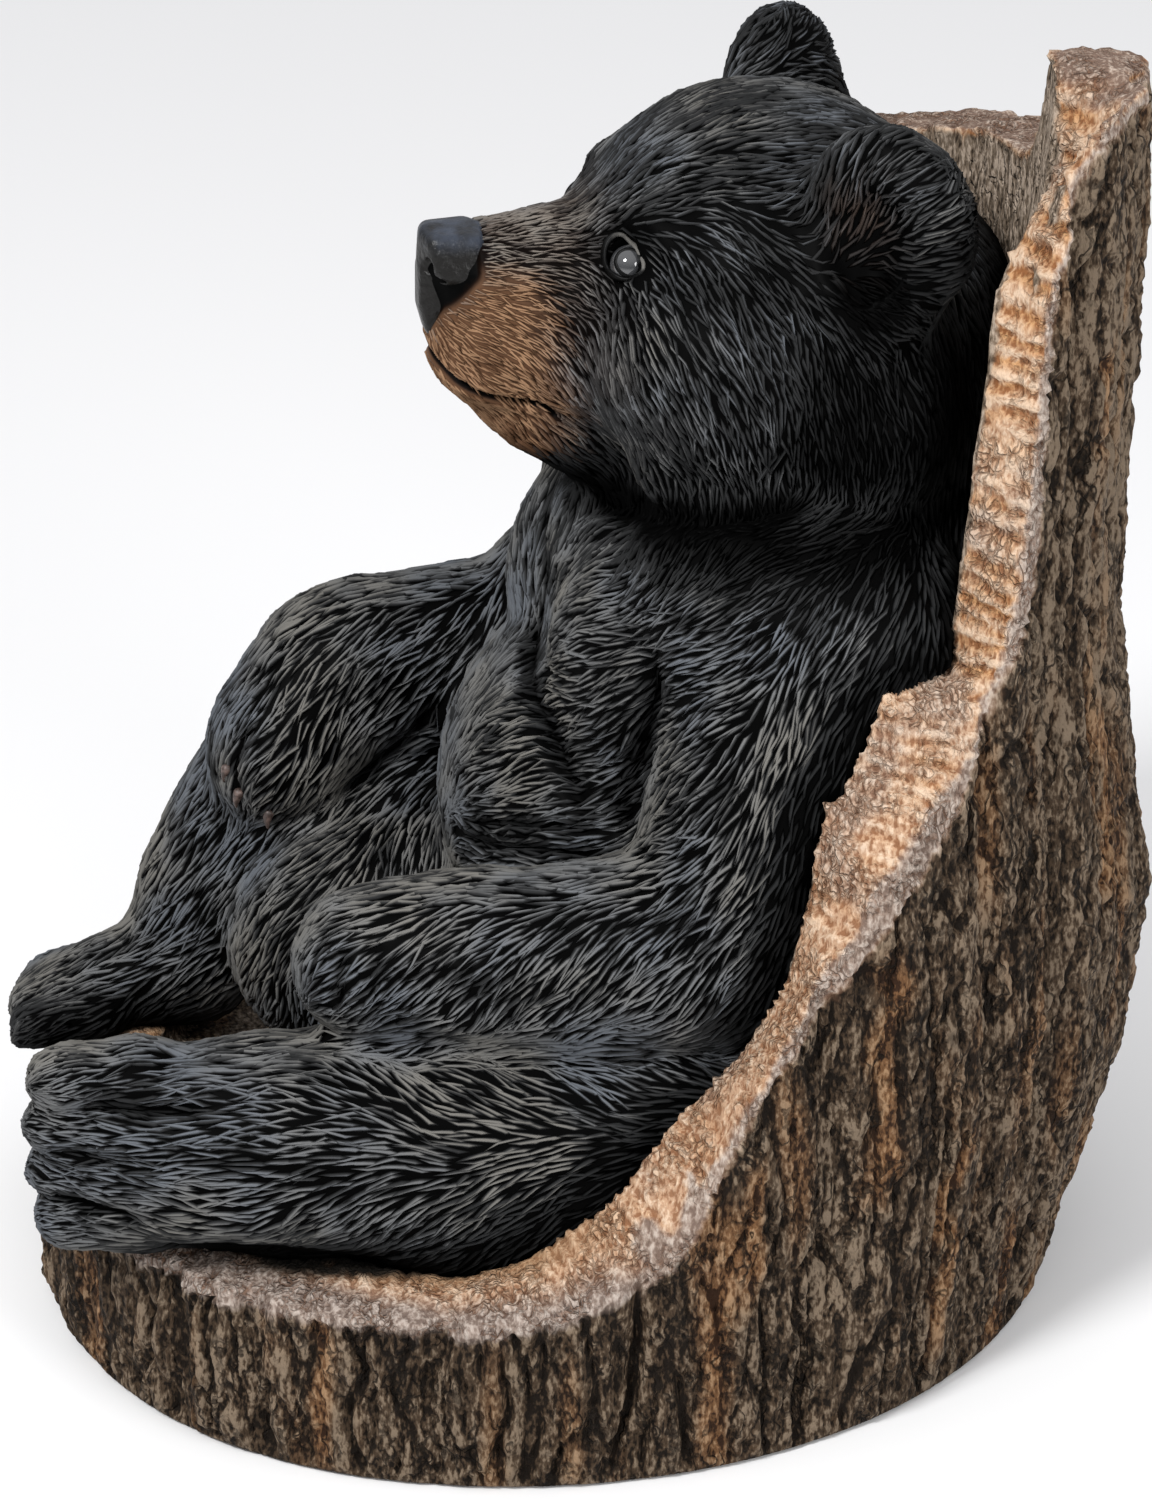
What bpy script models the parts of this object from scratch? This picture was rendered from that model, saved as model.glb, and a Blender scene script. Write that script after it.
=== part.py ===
"""A bear cub leaning back in a hollow tree stump: a painted resin figurine.

The stump is one casting, the bear is a second casting bonded into its hollow, and the two eyes are
glossy beads set into sockets. Metres, +Z up, origin in the middle of the flat underside. The bear
faces -Y and its left side is +X. A heading is an angle in degrees round the trunk, counted from the
front towards the bear's left, so 0 is -Y, 90 is +X and 180 is the back.
"""

import math
import random

import bmesh
import bpy
from mathutils import Matrix, Vector

mm = 0.001

# Stump
stump_height = 395 * mm
front_rim_height = 56 * mm
seat_height = 48 * mm
base_radius = 154 * mm
base_ovality = 6.5 * mm
foot_rounding = 3 * mm
foot_flare = 18 * mm
hollow_radius = 124 * mm
hollow_lean = 23 * mm
least_wall = 22 * mm

# Swellings of the trunk: heading, half width in degrees, height of the fattest place, half height, bulge
trunk_swellings = (
    (168, 42, 118 * mm, 75 * mm, 19 * mm),
    (165, 48, 330 * mm, 170 * mm, 12 * mm),
    (40, 26, 0 * mm, 60 * mm, 4 * mm),
    (-70, 34, 70 * mm, 70 * mm, 7 * mm),
    (-135, 40, 300 * mm, 170 * mm, 14 * mm),
    (-150, 36, 90 * mm, 70 * mm, 14 * mm),
)

# Bark
column_count = 128
outer_row_count = 9
inner_row_count = 4
bark_furrow_depth = 5.5 * mm
bark_plate_relief = 2.5 * mm
plate_columns = (4, 8)
furrow_wander = 2.6
furrow_bend_length = 46 * mm
plate_step_length = 17 * mm
rim_crown = 1.5 * mm
bark_seed = 11

# Broken edge of the trunk. Each point is a heading and a share of the rise from the front rim to the top.
outer_edge = (
    (-180, 0.87), (-168, 0.865), (-150, 0.835), (-138, 0.80), (-134, 0.60), (-127, 0.56), (-121, 0.47),
    (-116, 0.345), (-108, 0.255), (-98, 0.155), (-88, 0.06), (-72, 0.01), (-12, 0.01), (20, 0.00), (71, 0.00),
    (80, 0.01), (90, 0.04), (94, 0.07), (101, 0.205), (109, 0.30), (114, 0.345), (122, 0.43), (128, 0.46),
    (132.5, 0.51), (135, 0.62), (137.5, 0.87), (142, 0.92), (145, 0.99), (172, 0.98), (176, 0.88), (180, 0.87),
)
inner_edge = (
    (-180, 0.875), (-168, 0.87), (-150, 0.835), (-136, 0.82), (-133, 0.62), (-126, 0.57), (-119, 0.47),
    (-112, 0.33), (-104, 0.215), (-95, 0.145), (-86, 0.07), (-75, 0.02), (-50, 0.00), (66, 0.01), (75, 0.03),
    (86, 0.08), (96, 0.165), (104, 0.21), (110, 0.27), (112.5, 0.33), (115, 0.43), (120, 0.45), (122.5, 0.52),
    (130, 0.525), (135, 0.52), (137.5, 0.70), (140, 0.84), (145, 0.88), (158, 0.89), (161, 0.95),
    (164, 0.985), (172, 0.985), (175, 0.89), (180, 0.875),
)

# Bear. Its places and sizes are written in millimetres of a figure that is 332 mm from seat to ear tips.
figure_height = 332 * mm
modelled_height = 332
modelled_seat = 50
clay_grain = 2.8
bear_triangles = 3250
lock_thickness = 6.5
lock_length = 19
ruff_locks = 9
cuff_locks = 9
bond_gap = 0.45 * mm
outside_allowance = 70 * mm

# Eyes
eye_radius = 5.8
eye_place = (30.0, 19.4, 338.3)
socket_gap = 0.35 * mm
eye_segments = 12
eye_rings = 8


def clear_scene():
    for leftover in list(bpy.data.objects):
        bpy.data.objects.remove(leftover)


def material(name, colour, roughness, metallic=0.0):
    made = bpy.data.materials.new(name)
    made.use_nodes = True
    shader = made.node_tree.nodes["Principled BSDF"]
    shader.inputs["Base Color"].default_value = (*colour, 1.0)
    shader.inputs["Roughness"].default_value = roughness
    shader.inputs["Metallic"].default_value = metallic
    return made


def link(name, mesh, look):
    made = bpy.data.objects.new(name, mesh)
    made.data.materials.append(look)
    bpy.context.scene.collection.objects.link(made)
    return made


def mesh_from(name, sculpt):
    bmesh.ops.recalc_face_normals(sculpt, faces=sculpt.faces)
    made = bpy.data.meshes.new(name)
    sculpt.to_mesh(made)
    sculpt.free()
    return made


# Stump


def angle_between(heading, other):
    return (heading - other + 180) % 360 - 180


def bell(distance, half_width):
    return math.exp(-((distance / half_width) ** 2))


def edge_height(edge, heading):
    """Height of a broken edge at a heading, straight from one of its points to the next."""
    heading = angle_between(heading, 0)
    for (before, low), (after, high) in zip(edge, edge[1:]):
        if before <= heading <= after:
            share = low + (high - low) * (heading - before) / (after - before)
            return front_rim_height + share * (stump_height - front_rim_height)
    return front_rim_height + edge[-1][1] * (stump_height - front_rim_height)


def trunk_radius(heading, height):
    """Radius of the trunk without its bark."""
    radius = base_radius + base_ovality * math.cos(math.radians(2 * (heading - 3)))
    above_foot = 1 - 0.5 * bell(height, foot_flare)
    for centre, half_angle, middle, half_height, bulge in trunk_swellings:
        round_trunk = bell(angle_between(heading, centre), half_angle)
        up_trunk = bell(height - middle, half_height)
        radius += bulge * above_foot * round_trunk * up_trunk
    return radius


def hollow_radius_at(heading, height):
    lean = hollow_lean * height / stump_height
    return min(hollow_radius + lean, trunk_radius(heading, height) - least_wall)


def bark_relief():
    """One height of relief for each column: plates of uneven width with a furrow between each two."""
    dice = random.Random(bark_seed)
    relief = []
    while len(relief) < column_count:
        width = dice.randint(*plate_columns)
        crown = dice.uniform(0, bark_plate_relief)
        relief.append(-bark_furrow_depth * dice.uniform(0.6, 1.0))
        relief.extend(crown + dice.uniform(-0.5, 0.5) * bark_plate_relief for _ in range(width - 1))
    return relief[:column_count]


def place(heading, radius, height):
    angle = math.radians(heading)
    return Vector((radius * math.sin(angle), -radius * math.cos(angle), height))


def column_points(column, relief):
    """Points of one upright slice of the stump, from the underside round the wall to the seat."""
    heading = -180 + 360 * column / column_count
    top = edge_height(outer_edge, heading)
    lip = edge_height(inner_edge, heading)
    points = [place(heading, trunk_radius(heading, 0) - foot_rounding, 0)]
    points.append(place(heading, trunk_radius(heading, 0) - 0.3 * foot_rounding, 0.35 * foot_rounding))
    for row in range(1, outer_row_count + 1):
        share = row / outer_row_count
        height = foot_rounding + (top - foot_rounding) * share
        bend = math.sin(height / furrow_bend_length + math.radians(3 * heading))
        drift = furrow_wander * bend * bell(share - 0.5, 0.4)
        ripple = 0.5 + 0.5 * math.sin(height / plate_step_length + 5 * heading)
        radius = trunk_radius(heading, height) + relief[column] * (0.75 + 0.35 * ripple)
        points.append(place(heading + drift, radius, height))
    rim = trunk_radius(heading, top)
    inside = hollow_radius_at(heading, lip)
    points.append(place(heading, inside + 0.45 * (rim - inside), top + 0.62 * (lip - top) + rim_crown))
    for row in range(inner_row_count + 1):
        height = lip + (seat_height - lip) * row / inner_row_count
        points.append(place(heading, hollow_radius_at(heading, height), height))
    return points


def stump_mesh(name):
    relief = bark_relief()
    sculpt = bmesh.new()
    columns = [[sculpt.verts.new(p) for p in column_points(n, relief)] for n in range(column_count)]
    under = sculpt.verts.new((0, 0, 0))
    seat = sculpt.verts.new((0, 0, seat_height))
    for column, following in zip(columns, columns[1:] + columns[:1]):
        sculpt.faces.new((under, following[0], column[0]))
        sculpt.faces.new((seat, column[-1], following[-1]))
        for row in range(len(column) - 1):
            sculpt.faces.new((column[row], following[row], following[row + 1], column[row + 1]))
    bmesh.ops.triangulate(sculpt, faces=sculpt.faces)
    return mesh_from(name, sculpt)


def hollow_keeper(stump):
    """The room that the stump needs: its solid grown by the bond gap, with its outer side pushed far out."""
    sculpt = bmesh.new()
    sculpt.from_mesh(stump.data)
    sculpt.normal_update()
    row_count = 2 + outer_row_count
    per_column = row_count + 2 + inner_row_count
    grown = []
    for vertex in sculpt.verts:
        grown.append(vertex.co + vertex.normal * bond_gap)
    for number, vertex in enumerate(sculpt.verts):
        vertex.co = grown[number]
        outside = number < column_count * per_column and number % per_column < row_count
        if outside:
            flat = Vector((vertex.co.x, vertex.co.y, 0))
            vertex.co += flat.normalized() * outside_allowance
    return mesh_from("hollow_keeper", sculpt)


# Bear: overlapping rounded masses, which are merged into one skin


def figure_scale():
    """Metres for each modelled millimetre of the figure."""
    return figure_height / modelled_height


def figure_point(x, y, z):
    """A place on the figure, in metres, from its modelled millimetres."""
    scale = figure_scale()
    return Vector((x * scale, y * scale, seat_height + (z - modelled_seat) * scale))


def add_ball(clay, centre, radii, turn=(0, 0, 0), sides=20):
    tilt = Matrix.Identity(4)
    for angle, axis in zip(turn, "XYZ"):
        tilt = Matrix.Rotation(math.radians(angle), 4, axis) @ tilt
    size = Matrix.Diagonal((*(r * figure_scale() for r in radii), 1))
    matrix = Matrix.Translation(figure_point(*centre)) @ tilt @ size
    bmesh.ops.create_uvsphere(clay, u_segments=sides, v_segments=sides // 2 + 2, radius=1, matrix=matrix)


def add_limb(clay, joints, sides=20):
    """A chain of rounded, tapered lengths. Each joint is x, y, z and the limb's radius there."""
    for x, y, z, radius in joints:
        add_ball(clay, (x, y, z), (radius, radius, radius), sides=sides)
    for (x0, y0, z0, r0), (x1, y1, z1, r1) in zip(joints, joints[1:]):
        start = figure_point(x0, y0, z0)
        end = figure_point(x1, y1, z1)
        span = end - start
        turn = span.to_track_quat("Z", "Y").to_matrix().to_4x4()
        bmesh.ops.create_cone(
            clay,
            cap_ends=True,
            segments=sides,
            radius1=r0 * figure_scale(),
            radius2=r1 * figure_scale(),
            depth=span.length,
            matrix=Matrix.Translation((start + end) / 2) @ turn,
        )


def add_lock(clay, root, sweep):
    """A lock of fur: a short taper that leans along its sweep and ends in a point."""
    sweep = Vector(sweep).normalized() * lock_length
    middle = Vector(root) + 0.5 * sweep
    tip = Vector(root) + sweep
    joints = [(*root, lock_thickness), (*middle, 0.75 * lock_thickness), (*tip, 0.2 * lock_thickness)]
    add_limb(clay, joints, sides=8)


def add_lock_row(clay, first, last, sweep, count):
    for number in range(count):
        root = Vector(first).lerp(Vector(last), number / (count - 1))
        add_lock(clay, root, sweep)


def add_cuff(clay, centre, radius, sweep):
    """Locks all round a limb, lying the way that its fur grows."""
    sweep = Vector(sweep).normalized()
    across = sweep.orthogonal().normalized()
    for number in range(cuff_locks):
        outward = Matrix.Rotation(math.tau * number / cuff_locks, 3, sweep) @ across
        root = Vector(centre) + outward * (radius - 0.55 * lock_thickness)
        add_lock(clay, root, sweep + 0.16 * outward)


def add_trunk_of_bear(clay):
    add_ball(clay, (0, 52, 92), (90, 74, 50))
    add_ball(clay, (0, 30, 158), (72, 62, 62))
    add_ball(clay, (0, 60, 222), (80, 60, 64))
    add_ball(clay, (0, 84, 190), (98, 56, 112))
    add_limb(clay, [(-26, 4, 98, 48), (-42, -54, 94, 40)])
    add_ball(clay, (0, 40, 70), (100, 88, 40))
    add_limb(clay, [(0, 84, 236, 72), (0, 80, 296, 66)])
    for side in (-1, 1):
        add_ball(clay, (side * 58, 68, 230), (44, 46, 50))
        add_ball(clay, (side * 32, 34, 214), (42, 38, 46))
        add_ball(clay, (side * 54, 50, 238), (40, 38, 46))
        add_lock_row(clay, (side * 14, 4, 188), (side * 60, 26, 192), (0, -0.2, -1), 5)
        add_lock_row(clay, (side * 88, 44, 224), (side * 92, 78, 240), (side * 0.2, -0.1, -1), 4)


def add_head(clay):
    add_ball(clay, (0, 66, 322), (69, 58, 57))
    add_ball(clay, (0, 36, 332), (45, 32, 26))
    add_ball(clay, (0, 84, 296), (80, 42, 56))
    add_limb(clay, [(0, 34, 314, 38), (0, 2, 322, 25), (0, -14, 325, 20)])
    add_ball(clay, (0, -13, 309), (25, 23, 21))
    add_limb(clay, [(0, 20, 294, 32), (0, 1, 293, 21), (0, -11, 294, 13)])
    add_ball(clay, (0, -27, 332), (14, 11, 12))
    add_ball(clay, (0, -25, 320), (10, 11, 11))
    for side in (-1, 1):
        add_ball(clay, (side * 40, 48, 310), (38, 41, 37))
        add_limb(clay, [(side * 32, 44, 310, 34), (side * 14, 8, 309, 21)])
        add_ball(clay, (side * 24, 31, 348), (16, 14, 10))
        add_cheek_ruff(clay, side)


def add_cheek_ruff(clay, side):
    """The thick fur of the cheek, which ends in a row of locks over the neck."""
    for number in range(ruff_locks):
        share = number / (ruff_locks - 1)
        angle = math.radians(228 + 104 * share)
        root = (side * (52 + 6 * share), 48 + 42 * math.cos(angle), 312 + 32 * math.sin(angle))
        add_lock(clay, root, (side * 0.1, 0.35 + 0.3 * share, -1))


def add_ear(clay, side):
    add_ball(clay, (side * 62, 88, 358), (27, 14, 28), (8, 0, side * 44))
    add_ball(clay, (side * 59, 91, 349), (22, 17, 20), (8, 0, side * 44))
    add_ball(clay, (side * 55, 83, 338), (25, 22, 24))


def add_near_arm(clay):
    add_limb(clay, [(70, 72, 232, 42), (82, 52, 190, 36), (88, 34, 148, 30)])
    add_limb(clay, [(88, 34, 146, 31), (86, -14, 145, 28), (80, -56, 148, 24)])
    add_ball(clay, (79, -68, 148), (22, 23, 22))
    add_cuff(clay, (84, -32, 146), 26, (-0.1, -1, 0))


def add_far_arm(clay):
    add_limb(clay, [(-60, 62, 222, 40), (-70, 10, 178, 29), (-70, -48, 174, 28)])
    add_limb(clay, [(-70, -52, 173, 28), (-64, -70, 154, 26)])
    add_ball(clay, (-60, -75, 150), (22, 21, 20))
    add_cuff(clay, (-70, -38, 174), 28, (0, -1, -0.1))


def add_near_leg(clay):
    add_limb(clay, [(70, 46, 96, 48), (84, -28, 88, 38), (84, -90, 92, 33), (82, -120, 93, 31)])
    add_limb(clay, [(84, 40, 80, 42), (89, -30, 76, 34), (85, -84, 78, 28)])
    add_ball(clay, (80, -138, 95), (23, 24, 35))
    for number in range(4):
        toe = (81 - 1.5 * number, -159 + 1.5 * abs(number - 1.4), 121 - 16.5 * number)
        add_ball(clay, toe, (14, 14, 8.6))
    add_cuff(clay, (83, -98, 92), 32, (0, -1, 0))


def add_far_leg(clay):
    add_limb(clay, [(-60, 34, 98, 46), (-74, -62, 130, 30)])
    add_limb(clay, [(-80, -72, 132, 27), (-79, -85, 114, 25), (-76, -94, 94, 24), (-72, -103, 78, 22)])
    add_limb(clay, [(-72, -102, 74, 20), (-70, -132, 69, 16), (-70, -142, 67, 14)])
    add_ball(clay, (-70, -139, 67), (25, 20, 12))
    add_cuff(clay, (-77, -89, 104), 25, (0, -0.35, -1))
    for number in range(5):
        x = -88 + 9.5 * number
        add_ball(clay, (x, -150 - 0.21 * (x + 88) + 1.6 * abs(number - 2), 65.5), (5.8, 11, 8.5))


def bear_clay(name):
    clay = bmesh.new()
    add_trunk_of_bear(clay)
    add_head(clay)
    for side in (-1, 1):
        add_ear(clay, side)
    add_near_arm(clay)
    add_far_arm(clay)
    add_near_leg(clay)
    add_far_leg(clay)
    return mesh_from(name, clay)


def ear_hollow(side):
    sculpt = bmesh.new()
    add_ball(sculpt, (side * 74, 75, 357), (15, 13, 17), (8, 0, side * 44))
    return mesh_from("ear_hollow", sculpt)


def helper(name, mesh):
    made = bpy.data.objects.new(name, mesh)
    made.hide_render = True
    made.display_type = "WIRE"
    bpy.context.scene.collection.objects.link(made)
    return made


def cut(target, cutter):
    boolean = target.modifiers.new("cut_" + cutter.name, "BOOLEAN")
    boolean.operation = "DIFFERENCE"
    boolean.solver = "EXACT"
    boolean.object = cutter


def merge(target, name, easings):
    """Draws one skin round everything that the target holds, and eases it so many times."""
    skin = target.modifiers.new(name, "REMESH")
    skin.mode = "VOXEL"
    skin.voxel_size = clay_grain * figure_scale()
    ease = target.modifiers.new("eased_" + name, "SMOOTH")
    ease.factor = 0.5
    ease.iterations = easings


def settled(target):
    """The target's mesh with its modifiers carried out."""
    graph = bpy.context.evaluated_depsgraph_get()
    graph.update()
    finished = bpy.data.meshes.new_from_object(target.evaluated_get(graph))
    target.modifiers.clear()
    target.data = finished
    return finished


def keep_largest_shell(mesh):
    """Drops the crumbs that a cut can leave beside the figure."""
    sculpt = bmesh.new()
    sculpt.from_mesh(mesh)
    unseen = set(sculpt.verts)
    shells = []
    while unseen:
        front = [unseen.pop()]
        shell = list(front)
        while front:
            for edge in front.pop().link_edges:
                for vertex in edge.verts:
                    if vertex in unseen:
                        unseen.remove(vertex)
                        front.append(vertex)
                        shell.append(vertex)
        shells.append(shell)
    shells.sort(key=len)
    for shell in shells[:-1]:
        bmesh.ops.delete(sculpt, geom=shell, context="VERTS")
    bmesh.ops.triangulate(sculpt, faces=sculpt.faces)
    sculpt.to_mesh(mesh)
    sculpt.free()


def build_bear(stump, look):
    bear = link("bear", bear_clay("bear"), look)
    merge(bear, "skin", 0)
    for side, name in ((1, "left"), (-1, "right")):
        cut(bear, helper(name + "_ear_hollow", ear_hollow(side)))
    merge(bear, "softened_skin", 2)
    settled(bear)
    facets = bear.modifiers.new("facets", "DECIMATE")
    facets.ratio = min(1, bear_triangles / (2 * len(bear.data.vertices)))
    settled(bear)
    for side, name in ((1, "left"), (-1, "right")):
        cut(bear, helper(name + "_socket", eye_mesh("socket", side, socket_gap)))
    cut(bear, helper("hollow_keeper", hollow_keeper(stump)))
    keep_largest_shell(settled(bear))
    bear.data.shade_smooth()
    bear.data.set_sharp_from_angle(angle=math.radians(60))
    return bear


def eye_mesh(name, side, growth):
    x, y, z = eye_place
    sculpt = bmesh.new()
    bmesh.ops.create_uvsphere(
        sculpt,
        u_segments=eye_segments,
        v_segments=eye_rings,
        radius=eye_radius * figure_scale() + growth,
        matrix=Matrix.Translation(figure_point(side * x, y, z)),
    )
    return mesh_from(name, sculpt)


def build():
    clear_scene()
    wood = material("painted_wood", (0.19, 0.13, 0.09), 0.75)
    fur = material("painted_fur", (0.02, 0.02, 0.022), 0.55)
    glaze = material("eye_glaze", (0.012, 0.01, 0.01), 0.06)
    stump = link("stump", stump_mesh("stump"), wood)
    stump.data.shade_smooth()
    stump.data.set_sharp_from_angle(angle=math.radians(35))
    build_bear(stump, fur)
    for side, name in ((1, "left_eye"), (-1, "right_eye")):
        eye = link(name, eye_mesh(name, side, 0), glaze)
        eye.data.shade_smooth()


build()
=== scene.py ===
"""Looks of a painted resin bear cub that rests in a hollow, broken tree stump."""

import math

import bmesh
import bpy
import numpy as np
from mathutils import Matrix, Vector, noise
from mathutils.bvhtree import BVHTree
from mathutils.kdtree import KDTree


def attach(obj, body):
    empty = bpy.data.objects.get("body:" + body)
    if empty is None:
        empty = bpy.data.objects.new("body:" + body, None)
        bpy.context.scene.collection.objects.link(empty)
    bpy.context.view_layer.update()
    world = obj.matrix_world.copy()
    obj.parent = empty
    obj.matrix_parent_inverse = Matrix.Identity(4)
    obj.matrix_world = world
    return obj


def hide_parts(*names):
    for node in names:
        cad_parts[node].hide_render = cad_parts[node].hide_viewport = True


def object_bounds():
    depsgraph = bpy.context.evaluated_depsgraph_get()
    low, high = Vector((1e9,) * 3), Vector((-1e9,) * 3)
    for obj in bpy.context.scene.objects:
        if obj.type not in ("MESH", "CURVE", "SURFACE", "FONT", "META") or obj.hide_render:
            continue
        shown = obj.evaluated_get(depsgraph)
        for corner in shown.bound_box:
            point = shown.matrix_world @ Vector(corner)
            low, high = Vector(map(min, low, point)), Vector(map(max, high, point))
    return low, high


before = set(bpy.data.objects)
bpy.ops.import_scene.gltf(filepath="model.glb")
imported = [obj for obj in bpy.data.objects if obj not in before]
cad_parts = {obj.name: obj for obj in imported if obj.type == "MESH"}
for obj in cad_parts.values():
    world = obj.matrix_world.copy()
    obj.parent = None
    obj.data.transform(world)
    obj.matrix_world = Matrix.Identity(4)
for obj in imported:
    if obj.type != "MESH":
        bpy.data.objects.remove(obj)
cad_box = [list(corner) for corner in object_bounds()]


# The stump: one hollow casting of resin and stone dust, moulded with its bark and its broken edge.
# It is washed dark brown, and everything that stands proud is brushed over in paler paint.

mm = 0.001
stump_grain = 1.55 * mm
stump_triangles = 195000
furrow_depth = 2.4 * mm
fibre_height = 0.9 * mm
plate_crack_depth = 2.4 * mm
bark_lump_height = 0.8 * mm
deep_crack_depth = 3.4 * mm
crumb_height = 0.55 * mm
chisel_pitch = 8.0 * mm
chisel_depth = 1.5 * mm
splinter_height = 1.0 * mm
hollow_streak_height = 0.8 * mm
ridge_pitch = 4.2 * mm
ridge_height = 0.7 * mm
joint_reach = 4.5 * mm
joint_top = 95 * mm
wall_radius = 145 * mm
seat_reach = 116 * mm
seat_top = 80 * mm
hollow_from = 40 * mm
broken_from = 50 * mm
wall_top_from = 290 * mm

# Places where one paint, or the painted shade between the legs, fades into the next: distances from the
# middle, and heights
low_rim_heights = (66 * mm, 90 * mm)
rim_reaches = (137 * mm, 147 * mm)
warm_reaches = (128 * mm, 140 * mm)
leg_shade_reaches = (98 * mm, 114 * mm)

# Paints of each zone: the wash in its pits, the body colour and the brushed tops, or only two of these
bark_paints = ((0.008, 0.005, 0.003), (0.050, 0.032, 0.019), (0.175, 0.130, 0.090))
tan_paints = ((0.030, 0.013, 0.006), (0.145, 0.070, 0.030), (0.31, 0.185, 0.098))
broken_paints = ((0.24, 0.120, 0.064), (0.42, 0.265, 0.168), (0.60, 0.445, 0.32))
hollow_paints = ((0.035, 0.024, 0.016), (0.16, 0.12, 0.085), (0.40, 0.32, 0.25))
recess_paints = ((0.24, 0.095, 0.034), (0.50, 0.265, 0.115))
weathered_paints = ((0.12, 0.106, 0.098), (0.36, 0.325, 0.305))
warm_paints = ((0.22, 0.115, 0.056), (0.42, 0.26, 0.145))
bark_crack_paint = (0.006, 0.004, 0.0025)
broken_crack_paint = (0.15, 0.066, 0.03)
# Dark paint of the joint with the bear, partly painted shade; also used for the painted shade between the
# legs
joint_and_shade_paint = (0.010, 0.008, 0.006)

# Where the bare broken wood ends and the bark begins on the left side: headings in degrees, heights in mm
bare_edge_headings = (40, 71, 90, 95, 102, 111, 125, 138, 139.5)
bare_edge_heights = (58, 56, 64, 80, 122, 151, 196, 256, 400)

# Warm streaks in the bark: heading, lowest and highest place, half width in degrees
tan_streaks = (
    (98.5, 4, 86, 2.0), (101.5, 60, 100, 1.4), (53.5, 6, 60, 1.2), (117.5, 84, 158, 1.8), (141, 2, 44, 1.5),
    (152, 150, 205, 1.6), (150, 292, 318, 1.2), (20, 8, 44, 1.2), (-38, 6, 50, 1.5), (-96, 10, 80, 1.6),
    (-124, 60, 150, 1.7), (-150, 20, 130, 1.8), (-168, 180, 300, 1.8), (172, 30, 160, 1.8),
    (128, 20, 90, 1.2),
)

# Deep upright cracks between slabs of bark, in the same numbers
deep_cracks = (
    (56.5, -20, 66, 0.6), (140, 76, 140, 0.9), (147, -20, 70, 0.5), (126, 40, 104, 0.5), (109, -20, 74, 0.5),
    (88, 8, 48, 0.4), (73, -20, 46, 0.45), (40, 6, 58, 0.4), (30, -20, 40, 0.45), (150, 150, 250, 0.5),
    (5, -20, 44, 0.5), (-24, 4, 52, 0.45), (-60, -20, 60, 0.5), (-84, 20, 110, 0.5), (-112, -20, 150, 0.6),
    (-140, 60, 240, 0.5), (-164, -20, 130, 0.5), (178, 120, 300, 0.6), (162, 10, 120, 0.5),
)


def settle(piece):
    """Carries out the piece's modifiers on its mesh."""
    graph = bpy.context.evaluated_depsgraph_get()
    graph.update()
    piece.data = bpy.data.meshes.new_from_object(piece.evaluated_get(graph))
    piece.modifiers.clear()
    piece.data.materials.clear()
    return piece


def melted(piece, grain, easings):
    """Joins the piece's shapes into one skin of even, fine faces and rounds it a little."""
    joined = piece.modifiers.new("joined", "REMESH")
    joined.mode = "VOXEL"
    joined.voxel_size = grain
    eased = piece.modifiers.new("eased", "SMOOTH")
    eased.iterations = easings
    return settle(piece)


def new_object(name, data):
    """An object in the scene that shows the mesh, the lamp or the camera."""
    made = bpy.data.objects.new(name, data)
    bpy.context.scene.collection.objects.link(made)
    return made


def fine_copy(name, node, grain, easings):
    """The node's solid again, as an even and fine skin that relief can be worked into."""
    return melted(new_object(name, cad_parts[node].data.copy()), grain, easings)


def thin_to(piece, triangles):
    """Merges the flattest faces until the piece has about so many triangles."""
    now = sum(len(face.vertices) - 2 for face in piece.data.polygons)
    thinner = piece.modifiers.new("thinner", "DECIMATE")
    thinner.ratio = min(1, triangles / now)
    settle(piece)


def points_of(mesh):
    """The places of the mesh's points, one row for each."""
    points = np.empty(3 * len(mesh.vertices), np.float32)
    mesh.vertices.foreach_get("co", points)
    return points.reshape(-1, 3).astype(float)


def normals_of(mesh):
    """The way out of the surface at each of the mesh's points."""
    normals = np.empty(3 * len(mesh.vertices), np.float32)
    mesh.vertex_normals.foreach_get("vector", normals)
    return normals.reshape(-1, 3).astype(float)


def move_points(mesh, points):
    """Moves the mesh's points to these places, but never out of the CAD box."""
    held = np.clip(points, cad_box[0], cad_box[1])
    mesh.vertices.foreach_set("co", held.astype(np.float32).ravel())
    mesh.update()


def paint(mesh, name, values):
    """Keeps one number for each point under a name that the materials read."""
    marks = mesh.attributes.new(name, "FLOAT", "POINT")
    marks.data.foreach_set("value", np.clip(values, 0, 1).astype(np.float32))


def averaged(mesh, values, rounds):
    """The values, each drawn so many times towards those of its neighbours."""
    ends = np.empty(2 * len(mesh.edges), np.int32)
    mesh.edges.foreach_get("vertices", ends)
    first, second = ends.reshape(-1, 2).T
    count = len(mesh.vertices)
    share = 1 / (1 + np.bincount(first, minlength=count) + np.bincount(second, minlength=count))
    for _ in range(rounds):
        total = values + np.bincount(first, values[second], count)
        total += np.bincount(second, values[first], count)
        values = total * share
    return values


def cloud(points, size, seed=0.0):
    """Soft noise from -1 to 1. The size is the length of its lumps, or one length for each axis.
    The seed picks one of its many patterns."""
    return np.array([noise.noise(place) for place in (points / size + seed).tolist()])


def crackle(points, size, seed=0.0):
    """How far each point lies from the nearest crack between cells of that size, and its cell's own tone."""
    gaps, tones = [], []
    for place in (points / size + seed).tolist():
        distances, middles = noise.voronoi(place)
        gaps.append(distances[1] - distances[0])
        tones.append(noise.cell(middles[0] * 9))
    return np.array(gaps), np.array(tones)


def smooth_step(values, low, high):
    """0 below low, 1 above high and a soft climb between them."""
    share = np.clip((values - low) / (high - low), 0, 1)
    return share * share * (3 - 2 * share)


def smooth_fall(values, low, high):
    """1 below low, 0 above high and a soft fall between them."""
    return 1 - smooth_step(values, low, high)


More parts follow.
